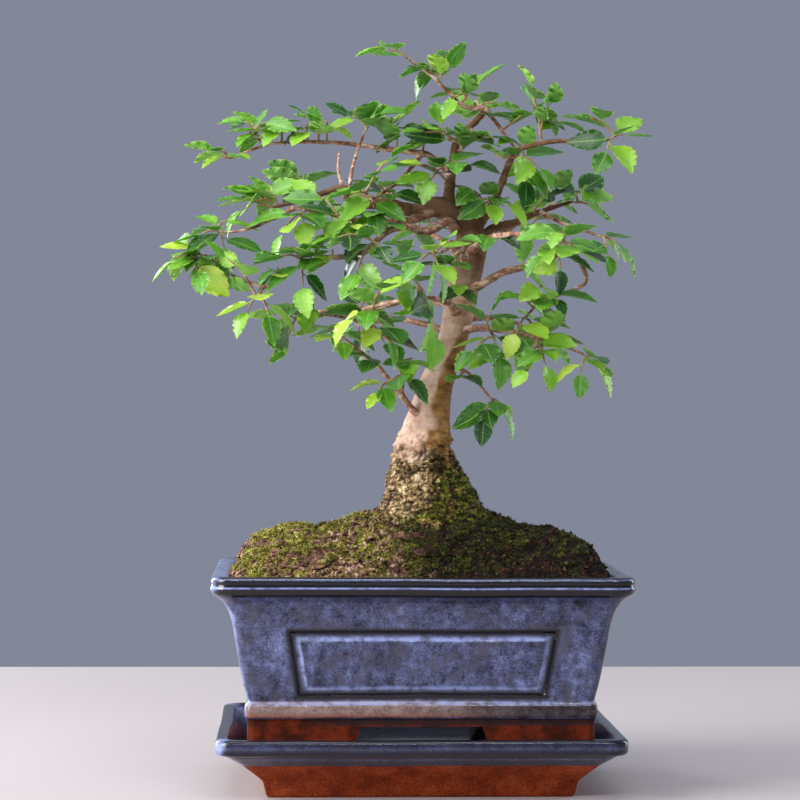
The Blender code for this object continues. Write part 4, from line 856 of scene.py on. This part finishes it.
class Growth:
    """A Geometry Nodes tree with named inputs, built node by node."""

    def __init__(self, name, **inputs):
        self.tree = bpy.data.node_groups.new(name, "GeometryNodeTree")
        face = self.tree.interface
        face.new_socket("Geometry", in_out="OUTPUT", socket_type="NodeSocketGeometry")
        self.inputs = {key: face.new_socket(key, in_out="INPUT", socket_type="NodeSocket" + kind).identifier
                       for key, kind in {"Geometry": "Geometry", "Shapes": "Collection", "Finish": "Material",
                                         **inputs}.items()}
        self.given = self.node("NodeGroupInput")

    def node(self, kind, sockets=None, **settings):
        """A node's outputs, from its type, the values or links of its sockets, and its settings."""
        made = self.tree.nodes.new(kind)
        for key, value in settings.items():
            setattr(made, key, value)
        for key, value in (sockets or {}).items():
            if isinstance(value, bpy.types.NodeSocket):
                self.tree.links.new(value, made.inputs[key])
            else:
                made.inputs[key].default_value = value
        return made.outputs

    def carried(self, name, kind="FLOAT"):
        """A value that the source mesh carries."""
        return self.node("GeometryNodeInputNamedAttribute", {"Name": name}, data_type=kind)[0]

    def times(self, first, second, kind="ShaderNodeMath"):
        """A product of two numbers, or of two vectors."""
        return self.node(kind, {0: first, 1: second}, operation="MULTIPLY")[0]

    def turned(self, angles):
        """A turn from its angles about the axes."""
        return self.node("FunctionNodeEulerToRotation", {0: angles})[0]

    def set_out(self, spots, **sockets):
        """One of the given shapes on each point."""
        shapes = self.node("GeometryNodeCollectionInfo", {
            "Collection": self.given["Shapes"], "Separate Children": True, "Reset Children": True})
        return self.node("GeometryNodeInstanceOnPoints", {
            "Points": spots, "Instance": shapes[0], "Pick Instance": True,
            **{key.replace("_", " "): value for key, value in sockets.items()}})[0]

    def end(self, geometry):
        """Makes the instances real, gives them the finish and closes the tree."""
        real = self.node("GeometryNodeRealizeInstances", {0: geometry})[0]
        sockets = {"Geometry": real, "Material": self.given["Finish"]}
        self.node("NodeGroupOutput", {0: self.node("GeometryNodeSetMaterial", sockets)[0]})
        return self


def leaf_growth():
    """Puts leaf shapes on points that carry a turn, a size and the number of a shape."""
    growth = Growth("set_out_leaves", Growth="Float")
    size = growth.times(growth.carried("size"), growth.given["Growth"])
    turn = growth.turned(growth.carried("turn", "FLOAT_VECTOR"))
    shape = growth.carried("shape", "INT")
    spots = growth.given["Geometry"]
    return growth.end(growth.set_out(spots, Instance_Index=shape, Rotation=turn, Scale=size))


def scatter_growth():
    """Scatters shapes over the faces of a mesh, thick where it's painted with cover."""
    growth = Growth("scatter", Density="Float", Seed="Int", Smallest="Float", Largest="Float", Lean="Float")
    given = growth.given
    spots = growth.node("GeometryNodeDistributePointsOnFaces", {
        "Mesh": given["Geometry"], "Density": growth.times(growth.carried("cover"), given["Density"]),
        "Seed": given["Seed"]})
    spin = growth.node("FunctionNodeRandomValue", {
        "Min": (-1.0, -1.0, -math.pi), "Max": (1.0, 1.0, math.pi), "Seed": given["Seed"]},
        data_type="FLOAT_VECTOR")[0]
    lean = growth.node("ShaderNodeCombineXYZ", {0: given["Lean"], 1: given["Lean"], 2: 1.0})[0]
    tilt = growth.turned(growth.times(spin, lean, "ShaderNodeVectorMath"))
    turn = growth.node("FunctionNodeRotateRotation", {0: spots["Rotation"], 1: tilt},
                       rotation_space="LOCAL")[0]
    size = growth.node("FunctionNodeRandomValue", {
        "Min": given["Smallest"], "Max": given["Largest"], "Seed": given["Seed"]}, data_type="FLOAT")["Value"]
    pieces = growth.set_out(spots["Points"], Rotation=turn, Scale=size)
    tone = growth.node("FunctionNodeRandomValue", {"Seed": 77}, data_type="FLOAT")["Value"]
    return growth.end(growth.node("GeometryNodeStoreNamedAttribute", {
        "Geometry": pieces, "Name": "tone", "Value": tone}, data_type="FLOAT", domain="INSTANCE")[0])


def grow(name, source, growth, **values):
    """A new mesh object that a growth makes from a copy of source."""
    holder = shown(bpy.data.objects.new(name, source.data))
    modifier = holder.modifiers.new("growth", "NODES")
    modifier.node_group = growth.tree
    for key, value in values.items():
        modifier[growth.inputs[key]] = value
    return settled(holder)


def strew(name, source, growth, shapes, look, density, seed, smallest, largest, lean):
    """Shapes strewn over source where it's painted with cover."""
    return grow(name, source, growth, Shapes=shapes, Finish=look, Density=density, Seed=seed,
                Smallest=smallest, Largest=largest, Lean=lean)


def shape_set(name, items):
    """A collection of shapes to set out. It isn't shown itself."""
    collection = bpy.data.collections.new(name)
    for item in items:
        collection.objects.link(item)
    return collection


def leaf_shape(number, fold, droop, bend, ripple):
    """A toothed leaf one unit long that points along +X with its face up, on a short stalk."""
    points, uvs, rows = [], [], []

    def half_width(x):
        t = min(max((x - LEAF_STALK) / (1 - LEAF_STALK), 0.0), 1.0)
        return 0.325 * math.sin(math.pi * t ** 0.84) ** 0.74 * (1 - 0.12 * t)

    def add(x, y, lift=0.0, across=0.5):
        points.append((x, y + bend * math.sin(math.pi * x), fold * abs(y) - droop * x * x + lift))
        uvs.append((across, x))
        return len(points) - 1

    for k in range(LEAF_TEETH + 1):
        x = LEAF_STALK + (1 - LEAF_STALK) * k / LEAF_TEETH
        middle = x + (1 - LEAF_STALK) / LEAF_TEETH * 0.86
        wave = LEAF_WAVE * ripple * (-1) ** k
        row = {"rib": add(x, 0.0)}
        rows.append(row)
        if k in (0, LEAF_TEETH):
            row |= dict.fromkeys(("keel", "left", "right", "left_mid", "right_mid"), row["rib"])
        else:
            row["keel"] = add(x, 0.0, -LEAF_THICKNESS)
        for side, word in SIDES if row["keel"] != row["rib"] else ():
            back, wide = x - LEAF_BACKSET, side * half_width(x)
            row[word + "_mid"] = add(back, wide * 0.52, LEAF_CROWN, 0.5 + side * 0.26)
            row[word] = add(back, wide * 0.955, wave, 0.5 + side * 0.47)
        for side, word in SIDES if k < LEAF_TEETH else ():
            wide = half_width(middle) * 1.02 + 0.007
            row[word + "_tooth"] = add(middle, side * wide, wave * -0.5, 0.5 + side * 0.5)
    upper, lower = [], []
    for a, b in zip(rows, rows[1:]):
        for side, word in SIDES:
            mid, tooth = word + "_mid", a[word + "_tooth"]
            upper += [face[::side] for face in (
                (a["rib"], b["rib"], b[mid], a[mid]), (a[mid], b[mid], tooth, a[word]),
                (b[mid], b[word], tooth))]
            lower += [face[::side] for face in (
                (a["keel"], a[word], tooth, b["keel"]), (b["keel"], tooth, b[word]))]
    stalk = [add(*spot) for x in (0.0, LEAF_STALK) for spot in (
        (x, LEAF_STALK_RADIUS, 0.0), (x, 0.0, LEAF_STALK_RADIUS), (x, -LEAF_STALK_RADIUS, 0.0))]
    lower += [tuple(stalk[k] for k in (i, (i + 1) % 3, (i + 1) % 3 + 3, i + 3)) for i in range(3)]
    lower += [tuple(stalk[2::-1]), tuple(stalk[3:])]
    faces = [(tuple(dict.fromkeys(face)), below)
             for part, below in ((upper, 0.0), (lower, 1.0)) for face in part]
    faces = [(face, below) for face, below in faces if len(face) > 2]
    mesh = bpy.data.meshes.new(f"leaf_{number}")
    mesh.from_pydata(points, [], [face for face, _ in faces])
    sheet = mesh.uv_layers.new(name="leaf_map")
    for loop in mesh.loops:
        sheet.data[loop.index].uv = uvs[loop.vertex_index]
    mesh.shade_smooth()
    rim = ("left", "right", "left_tooth", "right_tooth")
    margin = {row[word] for row in rows for word in rim if word in row}
    carry(mesh, domain="FACE", underside=[below for _, below in faces])
    carry(mesh, "BOOLEAN", "EDGE", sharp_edge=[set(edge.vertices) <= margin for edge in mesh.edges])
    return bpy.data.objects.new(mesh.name, mesh)


def neighbours(vertex):
    """The corners that edges join to this one."""
    return {edge.other_vert(vertex) for edge in vertex.link_edges}


def leaf_at(tip):
    """The crown, keel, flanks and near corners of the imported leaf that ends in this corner, or None."""
    around = sorted(neighbours(tip), key=lambda corner: (corner.co - tip.co).length)
    if len(around) != 4:
        return None
    *flanks, first, second = around
    if abs((first.co - second.co).length / MM - LEAF_CREASE) > 0.02:
        return None
    if (first.co - tip.co).length < 1.3 * (flanks[1].co - tip.co).length:
        return None
    shared = neighbours(first) & neighbours(second) - {tip, *flanks}
    return first, second, flanks, [corner for corner in shared if neighbours(corner) & set(flanks)]


def decode_shoot(node):
    """The leaves of a packed shoot, as (root, ahead, up, length) in millimetres, and its bare stems' mesh."""
    bm = bmesh.new()
    bm.from_mesh(node.data)
    bmesh.ops.remove_doubles(bm, verts=bm.verts, dist=1e-6)
    leaves, gone = [], set()
    for tip in bm.verts:
        found = leaf_at(tip)
        if not found:
            continue
        first, second, flanks, corners = found
        widest = (flanks[0].co + flanks[1].co) / 2
        ahead = (tip.co - widest).normalized()
        length = (tip.co - widest).length / (1 - LEAF_FLANKS)
        if length < LEAF_LEAST * MM:
            continue
        root = tip.co - ahead * length
        crown, keel = sorted((first, second), key=lambda corner: -(corner.co - root).cross(ahead).length)
        leaves.append((from_frame(root), ahead, (crown.co - keel.co).normalized(), length / MM))
        gone |= {tip, first, second, *flanks, *corners}
    bmesh.ops.delete(bm, geom=list(gone), context="VERTS")
    bmesh.ops.holes_fill(bm, edges=bm.edges, sides=0)
    bmesh.ops.triangulate(bm, faces=bm.faces)
    bmesh.ops.recalc_face_normals(bm, faces=bm.faces)
    for vertex in bm.verts:
        vertex.co += vertex.normal * STEM_SWELL * MM
    mesh = bpy.data.meshes.new(node.name + "_stems")
    bm.to_mesh(mesh)
    bm.free()
    return leaves, mesh


def leaf_tone(middle, rng):
    """0 for a dark old leaf to 1 for a pale young one, mostly at random; leaves further out are paler, partly
    as young tips and partly as painted light, and those at the front are painted paler and those at the back
    darker, as light and shade.
    """
    outward = math.hypot(middle.x - TREE_X - 10, middle.y * 0.8, middle.z - 215) / 95
    tone = rng.gauss(0.46, 0.21) + 0.22 * (outward - 0.55) - 0.0016 * middle.y
    for odds, change in ((0.06, 0.35), (0.10, -0.28)):
        if rng.random() < odds:
            tone += change
    return min(max(tone, 0.02), 1.0)


def leaf_spots(name, leaves, rng):
    """A mesh of points at the leaves' roots that carries their turns, sizes, shapes and tones."""
    mesh = bpy.data.meshes.new(name)
    mesh.from_pydata([tuple(leaf[0] * MM + Vector(POT_PLACE)) for leaf in leaves], [], [])
    turns, sizes, shapes, tones = [], [], [], []
    for root, ahead, up, length in leaves:
        level = rng.uniform(*LEAF_LEVEL) if rng.random() < LEVEL_SHARE else 0.0
        up = up.lerp(Vector((0, 0, 1)), level)
        side = up.cross(ahead).normalized()
        turns.append(Matrix((ahead, side, ahead.cross(side))).transposed().to_euler())
        sizes.append(length * MM)
        shapes.append(rng.randrange(len(LEAF_SHAPES)))
        tones.append(leaf_tone(root + ahead * length / 2, rng))
    carry(mesh, size=sizes, tone=tones)
    carry(mesh, "INT", shape=shapes)
    carry(mesh, "FLOAT_VECTOR", field="vector", turn=turns)
    return bpy.data.objects.new(name, mesh)


def wood_line():
    """Points along the middle of the trunk and of every branch."""
    lines = [smooth_line(TRUNK, 2.0)[:, :3], *(smooth_line(line, 1.0) for line, _, _ in BRANCHES.values())]
    return np.vstack(lines) + (TREE_X, 0.0, 0.0)


def twiglet(name, start, end, rng, look):
    """A short straight piece of shoot, closed at both ends."""
    way = (end - start) / np.linalg.norm(end - start)
    line = (start, (start + end) / 2, end + way * 0.6)
    return turn_outwards(make_mesh(name, *limb(line, SPUR_RADII, rng, around=8, flare=0.0, kink=0.0), look))


def make_spurs(leaf, shoot, shapes, growth):
    """Short leafy spurs on the old wood."""
    rng = random.Random(SEED + 3)
    wood, leaves, stems = wood_line(), [], []
    for number, (tip, heading, count) in enumerate(SPURS):
        tip = np.array(tip, float) + (TREE_X, 0.0, 0.0)
        foot = wood[np.linalg.norm(wood - tip, axis=1).argmin()]
        stems.append(twiglet(f"spur_{number}", foot, tip, rng, shoot))
        length = np.linalg.norm(foot - tip)
        for k in range(count):
            turn = math.radians(heading + (-1) ** k * (12 + 26 * k) + rng.uniform(-14, 14))
            rise = math.radians(rng.uniform(-32, 14))
            ahead = Vector((math.cos(turn) * math.cos(rise), math.sin(turn) * math.cos(rise), math.sin(rise)))
            up = Vector((rng.uniform(-0.5, 0.5), rng.uniform(-0.75, 0.1), 1.0)).normalized()
            root = Vector(tip + (foot - tip) / length * min(1.3 * k, 0.6 * length))
            leaves.append((root, ahead, up, rng.uniform(*SPUR_LEAVES)))
    spots = leaf_spots("spur_spots", leaves, rng)
    made = grow("spur_leaves", spots, growth, Shapes=shapes, Growth=1.0, Finish=leaf)
    return joined("leafy_spurs", [made, *stems])


def make_foliage(leaf, shoot, shapes, growth):
    """Each packed shoot again, with round stems and toothed, folded leaves."""
    rng = random.Random(SEED)
    wood = wood_line()
    pieces = [(make_spurs(leaf, shoot, shapes, growth), "leaf")]
    for name in sorted(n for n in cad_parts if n.startswith("leafy_shoot")):
        leaves, stems = decode_shoot(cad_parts[name])
        spots = leaf_spots(name + "_spots", leaves, rng)
        made = grow(name + "_leaves", spots, growth, Shapes=shapes, Growth=LEAF_GROWTH, Finish=leaf)
        stems.materials.append(shoot)
        stem = rounded(shown(bpy.data.objects.new(name + "_stem", stems)), 1)
        stem.data.shade_smooth()
        spots = np.array([from_frame(v.co) for v in stem.data.vertices])
        gaps = np.linalg.norm(spots[:, None] - wood[None], axis=2)
        nearest, foot = np.unravel_index(gaps.argmin(), gaps.shape)
        joint = twiglet(name + "_joint", wood[foot], spots[nearest], rng, shoot)
        piece = joined(name.replace("leafy_shoot", "foliage"), [made, stem, joint])
        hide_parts(name)
        pieces.append((piece, "leaf"))
    return pieces


def sweep(points, radii, around):
    """Points in rings along a line, and each ring's middle again for each of its points."""
    ahead = np.gradient(points, axis=0)
    ahead /= np.linalg.norm(ahead, axis=1)[:, None]
    side = np.cross(ahead[0], (0.0, 0.0, 1.0) if abs(ahead[0][2]) < 0.9 else (1.0, 0.0, 0.0))
    rings = []
    turns = np.linspace(0, 2 * math.pi, around, endpoint=False)
    for spot, way, radius in zip(points, ahead, radii):
        side = side - way * side.dot(way)
        side /= np.linalg.norm(side)
        other = np.cross(way, side)
        rings.append(spot + radius * (np.cos(turns)[:, None] * side + np.sin(turns)[:, None] * other))
    return np.vstack(rings), np.repeat(points, around, 0)


def make_trunk():
    """The trunk: points, faces, pits, moss."""
    line = smooth_line(TRUNK, TRUNK_SPACING)
    points, centres = sweep(line[:, :3], line[:, 3], TRUNK_AROUND)
    out = points - centres
    radius = np.linalg.norm(out, axis=1)
    out /= radius[:, None]
    height = points[:, 2]
    old = 1 - step((height + rough(points, 7.0, 2, 2.0) * 6 - (OLD_BARK - 9)) / 14)
    spread = 1 - step((height - 92) / 34)
    angle = np.arctan2(out[:, 1], out[:, 0])
    buttress = (0.07 * np.cos(3 * angle + 0.6) + 0.05 * np.cos(5 * angle + 2.1)) * radius * spread
    ridged = points * (1, 1, 1.5)
    lumps = rough(points, 8.0, 2, 1.0) * 1.2 + layered(ridged, BARK_RIDGES)
    patch = rough(points, 6.0, 2, 12.0)
    pit = (1 - step(cracked(ridged, 5.2) / 0.2)) * step(0.35 + patch * 2.2)
    pit = old * np.maximum(pit, (1 - step(cracked(ridged, 2.7) / 0.3)) * step(0.30 - patch * 2.2))
    young = rough(points * (1, 1, 0.5), 7.0, 2, 9.0) * 0.35
    young = young + rough(points * (1, 1, 1.6), 2.4, seed=5.0) * 0.07
    scar = near(np.linalg.norm(points - PRUNING_SCAR, axis=1), 3.0)
    push = buttress + old * lumps - pit * 0.9 + (1 - old) * young + scar * 0.8
    right = step((out[:, 0] + 0.45) / 1.1)
    low = 1 - step((height - 96) / 26)
    moss = old * np.clip(right * step((134 - height) / 18) * 1.2 + low * 0.8 - 0.1, 0, 1)
    points = points + out * push[:, None]
    moss = moss * step(0.62 + rough(points, 4.0, 2, 17.0) * 1.5)
    return points, tube_faces(len(line), TRUNK_AROUND), pit, moss


def limb(points, radii, rng, around=10, flare=0.55, kink=0.22):
    """A tapering branch with swollen knots, a flared foot and a closed tip."""
    line = smooth_line(points, 1.1)
    run = np.concatenate(([0.0], np.cumsum(np.linalg.norm(np.diff(line, axis=0), axis=1))))
    share = run / run[-1]
    radius = radii[0] + (radii[1] - radii[0]) * share ** 0.8
    radius = radius * (1 + flare * np.exp(-run / (2.2 * radii[0])))
    phase = rng.uniform(0, KNOT_PITCH)
    radius = radius * (1 + 0.16 * near((run + phase) % KNOT_PITCH - KNOT_PITCH / 2, 0.9))
    radius[-1] *= 0.55
    shift = np.array([rng.uniform(0, 50) for _ in range(3)])
    held = kink * np.minimum(1, share * 6)[:, None] * np.minimum(1, (1 - share) * 6)[:, None]
    line = line + drift(line, 5.0, (1, 2, 3), shift) * held
    spots, centres = sweep(line, radius, around)
    spots = spots + (spots - centres) * rough(spots, 2.6, seed=3.0)[:, None] * 0.10
    return spots, tube_faces(len(line), around)


def make_stub():
    """The stump of a pruned leader beside the trunk, with a dark rim round its hollow cut."""
    table = np.array(PRUNED_STUB)
    line = np.vstack([np.linspace(a, b, 4, endpoint=False) for a, b in zip(table, table[1:])] + [table[-1:]])
    axis = line[:, :3].copy()
    axis[:, 2] = np.maximum.accumulate(axis[:, 2]) + np.arange(len(axis)) * 1e-4
    points, centres = sweep(axis, line[:, 3], STUB_AROUND)
    points[:, 2] += np.repeat(line[:, 2] - axis[:, 2], STUB_AROUND)
    points = points + (points - centres) * (rough(points, 3.0, 2, 6.0) * 0.07)[:, None]
    cut = step((np.arange(len(line)) / (len(line) - 1) - 0.66) / 0.12) * 0.9
    return points, tube_faces(len(line), STUB_AROUND), np.repeat(cut, STUB_AROUND)


def make_wood(look):
    """Trunk, roots, pruned stub and every branch, as one piece."""
    rng = random.Random(SEED + 1)
    points, faces, pit, moss = make_trunk()
    parts = [(points, faces, 0.0, pit, moss)]
    points, faces, cut = make_stub()
    parts.append((points, faces, 0.0, cut, 0.0))
    parts += [(*limb(root, ROOT_RADII, rng, around=18, kink=0.8), 0.0, 0.0, 0.0) for root in ROOTS]
    for line, first, last in BRANCHES.values():
        branch = limb(line, (first, last), rng, around=12 if first > 1.5 else 8)
        parts.append((*branch, step((2.6 - first) / 1.2), 0.0, 0.0))
    faces, shift = [], 0
    for part in parts:
        faces += [tuple(k + shift for k in face) for face in part[1]]
        shift += len(part[0])
    twig, pit, moss = (np.concatenate([np.broadcast_to(part[k], len(part[0])) for part in parts])
                       for k in (2, 3, 4))
    points = np.vstack([part[0] for part in parts])
    x, _, z, radius = np.array(TRUNK)[:TRUNK_ROWS_BELOW_BEND].T
    middle, girth = np.interp(points[:, 2], z, x), np.interp(points[:, 2], z, radius)
    across = (points[:, 0] - middle) / girth + rough(points, 9.0, 2, 31.0) * 0.35
    shady = step((across + 0.30) / 0.75) * (twig < 0.5) * (1 - 0.5 * step((points[:, 2] - 160) / 25))
    wood = turn_outwards(make_mesh("wood", points + (TREE_X, 0.0, 0.0), faces, look, twig=twig, pit=pit,
                                   moss=moss, cover=moss, shady=shady))
    wood.data.shade_smooth()
    wood.data.set_sharp_from_angle(angle=math.radians(60))
    return wood


def moss_sprig(number, blades, rng):
    """A tuft of pointed blades about a millimetre tall."""
    points, faces = [], []
    for k in range(blades):
        angle = 2 * math.pi * (k + rng.uniform(-0.3, 0.3)) / blades
        lean, tall = rng.uniform(0.25, 0.75), rng.uniform(0.7, 1.3)
        way = Vector((math.cos(angle), math.sin(angle), 0.0))
        side = Vector((-way.y, way.x, 0.0)) * 0.20
        foot = way * 0.12
        tip = foot + way * lean * tall + Vector((0, 0, tall * 0.8))
        faces += [tuple(len(points) + corner for corner in face)
                  for face in ((0, 1, 3), (1, 2, 3), (2, 0, 3), (0, 2, 1))]
        points += [foot + side, foot - side, foot + way * 0.24 + Vector((0, 0, 0.1)), tip]
    mesh = bpy.data.meshes.new(f"moss_sprig_{number}")
    mesh.from_pydata([tuple(point * MM) for point in points], [], faces)
    mesh.shade_smooth()
    return turn_outwards(bpy.data.objects.new(mesh.name, mesh))


def crumb(number, long, rng):
    """A lump of soil about a millimetre across, or a longer chip."""
    bm = bmesh.new()
    bmesh.ops.create_icosphere(bm, subdivisions=1, radius=0.5 * MM)
    for vertex in bm.verts:
        vertex.co *= 1 + rng.uniform(-0.32, 0.32)
        vertex.co.x *= long
        vertex.co.z *= 0.75
    mesh = bpy.data.meshes.new(f"crumb_{number}")
    bm.to_mesh(mesh)
    bm.free()
    mesh.shade_flat()
    return bpy.data.objects.new(mesh.name, mesh)


def make_moss(name, node, look, bed_look, sprigs, growth, seed):
    """A pad of moss on a packed pad's place: a lumpy bed of soil and patches of sprigs."""
    bed = shown(bpy.data.objects.new(name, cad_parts[node].data.copy()))
    bed = rounded(turn_outwards(bed, weld=0.001), 4)
    mesh = bed.data
    spots = [from_frame(v.co) for v in mesh.vertices]
    lift = layered(spots, ((4.5, 2, seed, 1.0), (1.8, 2, seed + 3, 0.5)))
    normals = [n.vector.copy() for n in mesh.vertex_normals]
    for vertex, normal, amount, spot in zip(mesh.vertices, normals, lift, spots):
        vertex.co += normal * float(amount) * MM * (1.0 if normal.z > 0.2 else 0.3)
        vertex.co.z += float(bank(spot.x, spot.y)) * MM
    mesh.materials.clear()
    mesh.materials.append(bed_look)
    patchy = step((rough(spots, 5.0, 2, seed + 8) + 0.22) / 0.45)
    top = [n.vector.z > -0.2 for n in mesh.vertex_normals]
    carry(mesh, moss=patchy * 0.8, cover=patchy * top)
    density, *sizes = PAD_COVER
    tufts = strew(name + "_tufts", bed, growth, sprigs, look, density, seed, *sizes)
    mesh.shade_smooth()
    piece = joined(name, [bed, tufts])
    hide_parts(node)
    return piece


def aim(item, place, target):
    """Stands a camera or a lamp at a place and turns it to a target."""
    item.location = place
    item.rotation_euler = (Vector(target) - item.location).to_track_quat("-Z", "Y").to_euler()


def set_camera():
    """The photograph's view."""
    eye = bpy.data.cameras.new("photograph_view")
    eye.lens, eye.sensor_width, eye.clip_start = LENS, 36.0, 0.01
    item = shown(bpy.data.objects.new("photograph_view", eye))
    across, ahead = EYE_DISTANCE * math.sin(EYE_TURN), EYE_DISTANCE * math.cos(EYE_TURN)
    aim(item, (EYE_AIM + across, -ahead, EYE_HEIGHT), (EYE_AIM, 0.0, EYE_HEIGHT))
    item.rotation_euler.rotate_axis("Z", EYE_ROLL)
    bpy.context.scene.camera = item


def set_stage():
    """A pale floor, a pale surround and soft light that comes mostly from the left."""
    scene = bpy.context.scene
    scene.view_settings.view_transform = "Standard"
    mesh = bpy.data.meshes.new("floor")
    corners = ((-1, FLOOR_FRONT), (1, FLOOR_FRONT), (1, FLOOR_BACK), (-1, FLOOR_BACK))
    mesh.from_pydata([(side * FLOOR_SIDE, y, 0.0) for side, y in corners], [], [(0, 1, 2, 3)])
    floor = shown(bpy.data.objects.new("floor", mesh))
    mesh.materials.append(Finish("floor_paint", Roughness=0.75, Base_Color=rgb(188, 180, 181)).material)
    scene.world = bpy.data.worlds.new("studio")
    scene.world.use_nodes = True
    surround = scene.world.node_tree.nodes["Background"].inputs
    surround["Color"].default_value, surround["Strength"].default_value = rgb(140, 146, 164), 0.85
    for name, (place, sides, watts, colour) in LIGHTS.items():
        lamp = bpy.data.lights.new(name, "AREA")
        lamp.shape, lamp.energy, lamp.color = "RECTANGLE", watts, colour
        lamp.size, lamp.size_y = sides
        aim(shown(bpy.data.objects.new(name, lamp)), place, LIGHT_AIM)


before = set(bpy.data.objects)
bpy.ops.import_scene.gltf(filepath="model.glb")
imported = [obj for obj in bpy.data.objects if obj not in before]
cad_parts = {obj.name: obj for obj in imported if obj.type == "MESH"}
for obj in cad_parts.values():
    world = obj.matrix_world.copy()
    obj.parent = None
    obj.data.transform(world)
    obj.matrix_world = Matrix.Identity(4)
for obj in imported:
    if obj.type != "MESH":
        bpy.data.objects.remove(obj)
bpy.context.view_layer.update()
pot_low, pot_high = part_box("pot")
POT_PLACE = np.array(((pot_low.x + pot_high.x) / 2, (pot_low.y + pot_high.y) / 2, 0.0))

set_camera()
set_stage()

glaze = glaze_finish()
soil_look, crumb_look = soil_finish("soil", False), soil_finish("loose_soil", True)
moss_look = moss_finish()
scatter = scatter_growth()
rng = random.Random(SEED + 2)

pot = make_pot(glaze)
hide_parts("pot")
saucer = make_saucer(glaze)
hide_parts("saucer")
soil, soil_patch = make_soil(soil_look)
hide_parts("soil")
wood = make_wood(bark_finish())
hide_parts("trunk_and_branches")
pieces = [(pot, "glaze"), (saucer, "glaze"), (soil, "soil"), (wood, "bark")]

chips = shape_set("crumbs", [crumb(k, long, rng) for k, long in enumerate(CRUMBS)])
pieces.append((strew("soil_crumbs", soil, scatter, chips, crumb_look, *CRUMB_COVER), "soil"))
sprigs = shape_set("sprigs", [moss_sprig(k, blades, rng) for k, blades in enumerate(SPRIGS)])
for node, seed in PADS.items():
    pieces.append((make_moss(node + "_cushion", node, moss_look, soil_look, sprigs, scatter, seed), "moss"))
soil.data.attributes["cover"].data.foreach_set("value", soil_patch.tolist())
pieces.append((strew("soil_moss", soil, scatter, sprigs, moss_look, *SOIL_COVER), "moss"))
pieces.append((strew("trunk_moss", wood, scatter, sprigs, moss_look, *TRUNK_COVER), "moss"))

leaf_shapes = shape_set("leaves", [leaf_shape(k, *numbers) for k, numbers in enumerate(LEAF_SHAPES)])
pieces += make_foliage(leaf_finish(), shoot_finish(), leaf_shapes, leaf_growth())

plastic, anodised = mesh_finish(), wire_finish()
for side in ("left", "right"):
    for node, look in ((f"drain_mesh_{side}", plastic), (f"mesh_wire_{side}", anodised)):
        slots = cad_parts[node].data.materials
        slots.clear()
        slots.append(look)

for piece, slot in pieces:
    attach(piece, BODY)
